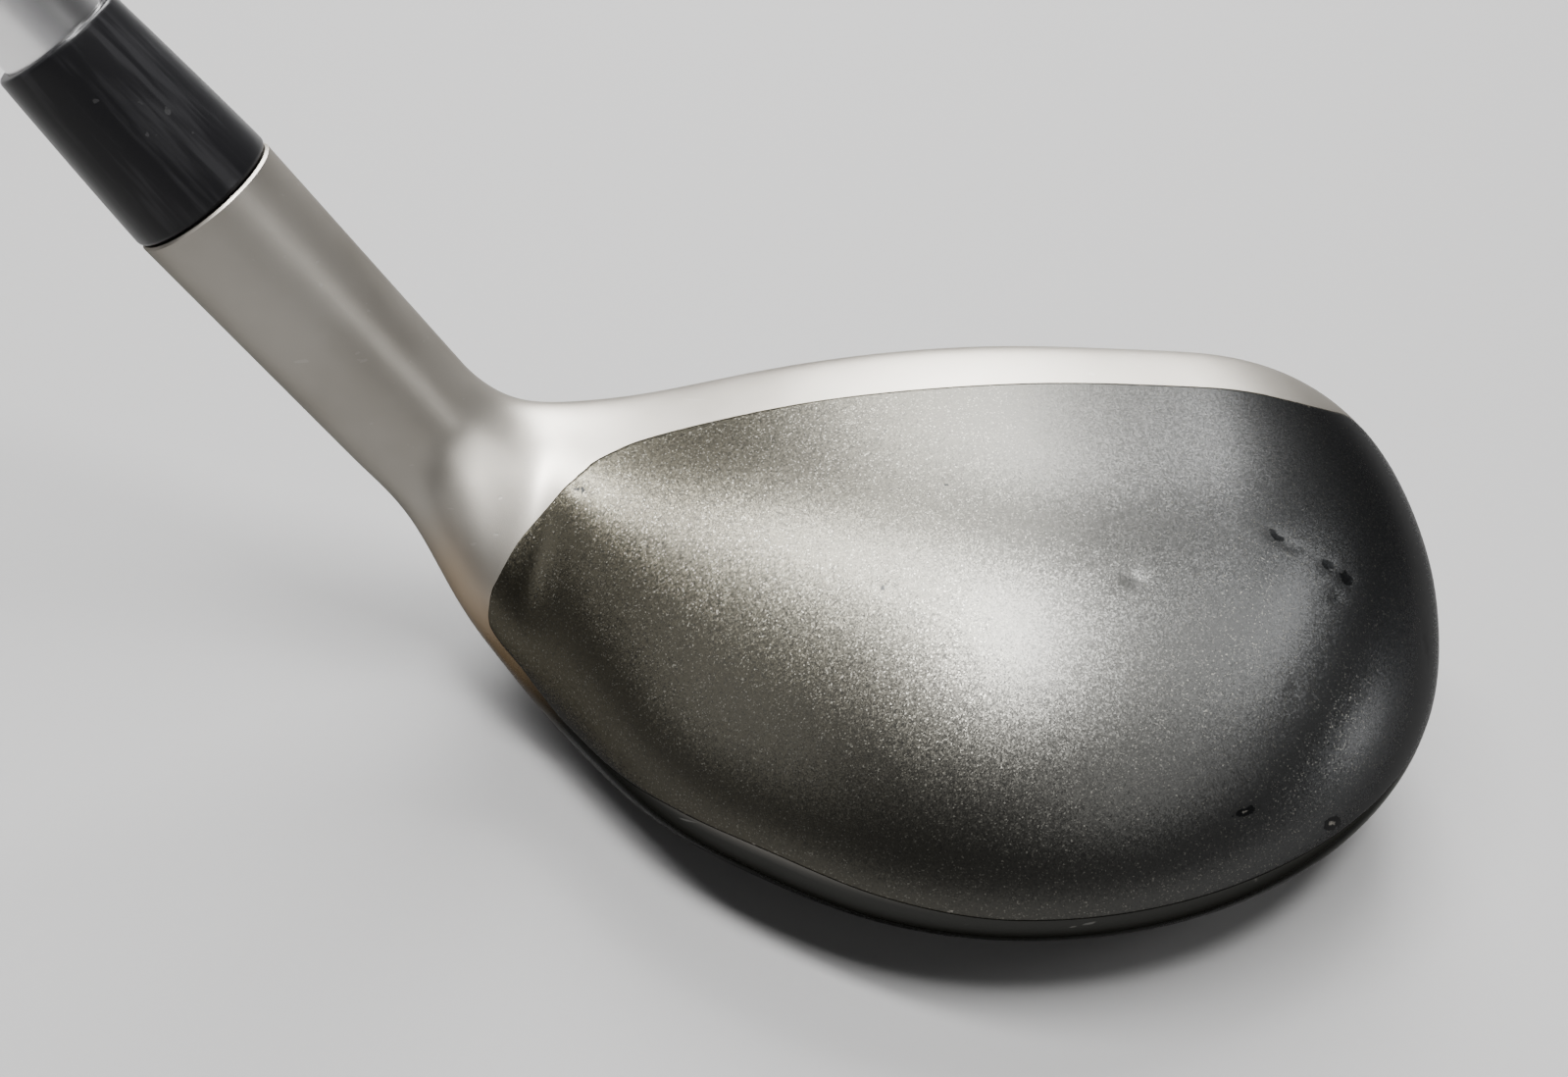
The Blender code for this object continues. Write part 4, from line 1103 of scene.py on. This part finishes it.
tread = Graph(
    "pip_rings",
    {
        "Foot": "NodeSocketVector",
        "Lean": "NodeSocketVector",
        "Start": "NodeSocketFloat",
        "Ring Pitch": "NodeSocketFloat",
        "Rings": "NodeSocketInt",
        "Pips in a Ring": "NodeSocketInt",
        "Foot Radius": "NodeSocketFloat",
        "Foot Taper": "NodeSocketFloat",
        "Butt Radius": "NodeSocketFloat",
        "Butt Taper": "NodeSocketFloat",
        "Pip Size": "NodeSocketVector",
        "Pip Slant": "NodeSocketFloat",
    },
)
ring_total = tread.number("Rings") * tread.number("Pips in a Ring")
places = tread.node("GeometryNodePoints", None, {"Count": ring_total})
index = Reading(tread.tree, tread.node("GeometryNodeInputIndex").outputs[0])
ring = (index / tread.number("Pips in a Ring")).whole()
odd = ring % 2.0
place_in_ring = index - ring * tread.number("Pips in a Ring") + 0.5 * odd
around = place_in_ring * (2 * math.pi) / tread.number("Pips in a Ring")
up = tread.number("Start") + ring * tread.number("Ring Pitch")
low_run = tread.number("Foot Radius") + up * tread.number("Foot Taper")
out = low_run.larger(tread.number("Butt Radius") + up * tread.number("Butt Taper"))
spot = tread.node(
    "ShaderNodeCombineXYZ",
    None,
    {"X": out * around.cosine(), "Y": out * around.sine(), "Z": up},
)
spots = {"Geometry": places.outputs[0], "Position": spot.outputs[0]}
placed = tread.node("GeometryNodeSetPosition", None, spots)
pip = tread.node("GeometryNodeMeshUVSphere", None, {"Segments": 8, "Rings": 6, "Radius": 1.0})
slant = (1 - 2 * odd) * tread.number("Pip Slant")
facing = tread.node("ShaderNodeCombineXYZ", None, {"X": slant, "Z": around})
pips = tread.node(
    "GeometryNodeInstanceOnPoints",
    None,
    {
        "Points": placed.outputs[0],
        "Instance": pip.outputs[0],
        "Rotation": facing.outputs[0],
        "Scale": tread.inputs["Pip Size"],
    },
)
leaned = tread.node(
    "GeometryNodeTransform",
    None,
    {"Geometry": pips.outputs[0], "Translation": tread.inputs["Foot"], "Rotation": tread.inputs["Lean"]},
)
tread.close(leaned.outputs[0], grip_rubber.material)
RINGS = 66
foot_taper = (outline(TREAD_BEND) - outline(TREAD_FROM)) / (TREAD_BEND - TREAD_FROM)
butt_taper = (outline(TREAD_TO) - outline(TREAD_BEND)) / (TREAD_TO - TREAD_BEND)
pips = tread.run(
    "grip_tread_pips",
    bpy.data.meshes.new("empty"),
    {
        "Foot": ((on_axis(MOUTH_AT, 0) - REST) * MM).tolist(),
        "Lean": (0.0, -LEAN[1], 0.0),
        "Start": TREAD_FROM * MM,
        "Ring Pitch": (TREAD_TO - TREAD_FROM) / (RINGS - 1) * MM,
        "Rings": RINGS,
        "Pips in a Ring": 18,
        "Foot Radius": (outline(TREAD_BEND) - foot_taper * TREAD_BEND) * MM,
        "Foot Taper": foot_taper,
        "Butt Radius": (outline(TREAD_BEND) - butt_taper * TREAD_BEND) * MM,
        "Butt Taper": butt_taper,
        "Pip Size": (0.34 * MM, 0.75 * MM, 1.5 * MM),
        "Pip Slant": math.radians(35),
    },
)
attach(pips, "root")

cap_rubber = Finish("cap_rubber", (0.008, 0.008, 0.009), Roughness=0.6, Specular_IOR_Level=0.3)
pores = cap_rubber.noise(2200, 3.0, 0.65)
scuff = cap_rubber.noise(320, 4.0, 0.7).over(0.55, 0.72)
cap_rubber.set(
    Base_Color=cap_rubber.mix(scuff * 0.4, (0.006, 0.006, 0.0065), (0.025, 0.024, 0.022)),
    Roughness=0.52 + 0.2 * pores + 0.1 * scuff,
    Normal=cap_rubber.bump(pores + scuff * 0.4, 0.00005, 0.7),
)
CAP_RADIUS = 15.65
CAP_VENT = 1.6
plug_radius = BUTT_RADIUS - 0.38 - 0.04
profile = [(-13.3, CAP_VENT), (-13.3, plug_radius - 0.6), (-12.7, plug_radius), (-4.0, plug_radius)]
profile += [(-4.0, CAP_RADIUS - 1.0), (-3.6, CAP_RADIUS - 0.35), (-3.1, CAP_RADIUS), (-1.4, CAP_RADIUS - 0.1)]
profile += [(-1.0, CAP_RADIUS - 0.3), (-0.45, CAP_RADIUS - 0.8), (-0.08, CAP_RADIUS - 1.5)]
profile += [(0.0, CAP_RADIUS - 2.1)]
profile += [(0.0, 11.6), (-0.35, 11.2), (-0.5, 10.8), (-0.5, 9.9), (-0.35, 9.5), (0.0, 9.1)]
profile += [(0.0, 3.4), (-0.15, 3.0), (-0.6, 2.4), (-0.9, CAP_VENT)]
profile = [(CLUB_LENGTH + along, radius) for along, radius in profile]
cap = turned("grip_end_cap", profile, cap_rubber.material, sharp=45)
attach(cap, "root")
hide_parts("grip_cap")

# ========================================
# The floor, the studio light and the camera.
# ========================================

FLOOR_REACH = 3.0
FLOOR_DROP = 0.0002

paper = Finish("floor_paper", (0.13, 0.129, 0.128), Roughness=0.75)
fibre = paper.noise(900, 3.0, 0.6)
away = Reading(paper.tree, paper.vector("LENGTH", paper.place)["Value"])
paper.set(
    Base_Color=paper.mix(fibre, (0.127, 0.126, 0.125), (0.133, 0.132, 0.131)),
    Alpha=1 - away.over(0.45 * FLOOR_REACH, 0.97 * FLOOR_REACH),
)
disc = [
    (FLOOR_REACH * math.cos(turn), FLOOR_REACH * math.sin(turn), -FLOOR_DROP)
    for turn in np.linspace(0, 2 * math.pi, 96, endpoint=False)
]
sheet = bpy.data.meshes.new("floor")
sheet.from_pydata(disc, [], [tuple(range(len(disc)))])
sheet.materials.append(paper.material)
floor_sheet = bpy.data.objects.new("floor", sheet)
bpy.context.scene.collection.objects.link(floor_sheet)


def softbox(name, towards, distance, size, power, up=(0.0, 0.0, 1.0), colour=(1.0, 1.0, 1.0)):
    """An area light that way from the head, facing it, with its width across and its height along `up`."""
    towards = np.array(towards) / np.linalg.norm(towards)
    width = np.cross(up, towards)
    width /= np.linalg.norm(width)
    height = np.cross(towards, width)
    light = bpy.data.lights.new(name, "AREA")
    light.shape = "RECTANGLE"
    light.size, light.size_y = size
    light.energy = power
    light.color = colour
    lamp = bpy.data.objects.new(name, light)
    lamp.rotation_euler = Matrix((width, height, towards)).transposed().to_euler()
    lamp.location = towards * distance
    lamp.visible_camera = False
    bpy.context.scene.collection.objects.link(lamp)
    return lamp


softbox("overhead_strip", (-0.20, -0.01, 0.98), 2.4, (2.0, 0.24), 205.0, (0.45, 0.87, -0.2))
softbox("overhead_lamp", (0.045, -0.225, 0.973), 2.4, (0.42, 0.28), 84.0, (0.45, 0.87, -0.2))
softbox("window_behind", (0.02, 0.66, 0.75), 2.6, (1.15, 2.2), 240.0)
softbox("lamp_behind", (0.16, 0.37, 0.91), 2.5, (0.5, 0.24), 20.0)
softbox("window_at_toe", (0.92, -0.26, 0.12), 2.6, (0.45, 0.4), 7.0)
softbox("toe_fill", (0.58, -0.20, 0.79), 2.6, (0.9, 0.6), 20.0)
softbox("front_fill", (0.40, -0.62, 0.68), 2.6, (1.2, 0.9), 9.0)
softbox("heel_fill", (-0.74, -0.36, 0.57), 2.6, (1.3, 1.0), 8.0)

# Pale round the sides, and darker overhead, so that the softboxes stand out on the steel.
world = bpy.data.worlds.new("studio")
world.use_nodes = True
sky = world.node_tree
way = add_node(sky, "ShaderNodeTexCoord").outputs["Generated"]
way_parts = add_node(sky, "ShaderNodeSeparateXYZ", None, {"Vector": way}).outputs
climb = Reading(sky, way_parts["Z"]).over(0.0, 0.45)
shades = {"Factor": climb, MIX_LOW: (0.44, 0.44, 0.45), MIX_HIGH: (0.03, 0.03, 0.031)}
shade = add_node(sky, "ShaderNodeMix", {"data_type": "RGBA"}, shades)
feed(sky, sky.nodes["Background"].inputs["Color"], shade.outputs[MIX_COLOUR])
bpy.context.scene.world = world

lens = bpy.data.cameras.new("camera")
lens.sensor_width = 36.0
lens.lens = 34.67
lens.clip_start = 0.01
lens.clip_end = 30.0
camera = bpy.data.objects.new("camera", lens)
camera.location = (-0.0177, -0.1176, 0.1230)
camera.rotation_euler = (math.radians(90 - 43), 0.0, 0.0)
bpy.context.scene.collection.objects.link(camera)
bpy.context.scene.camera = camera
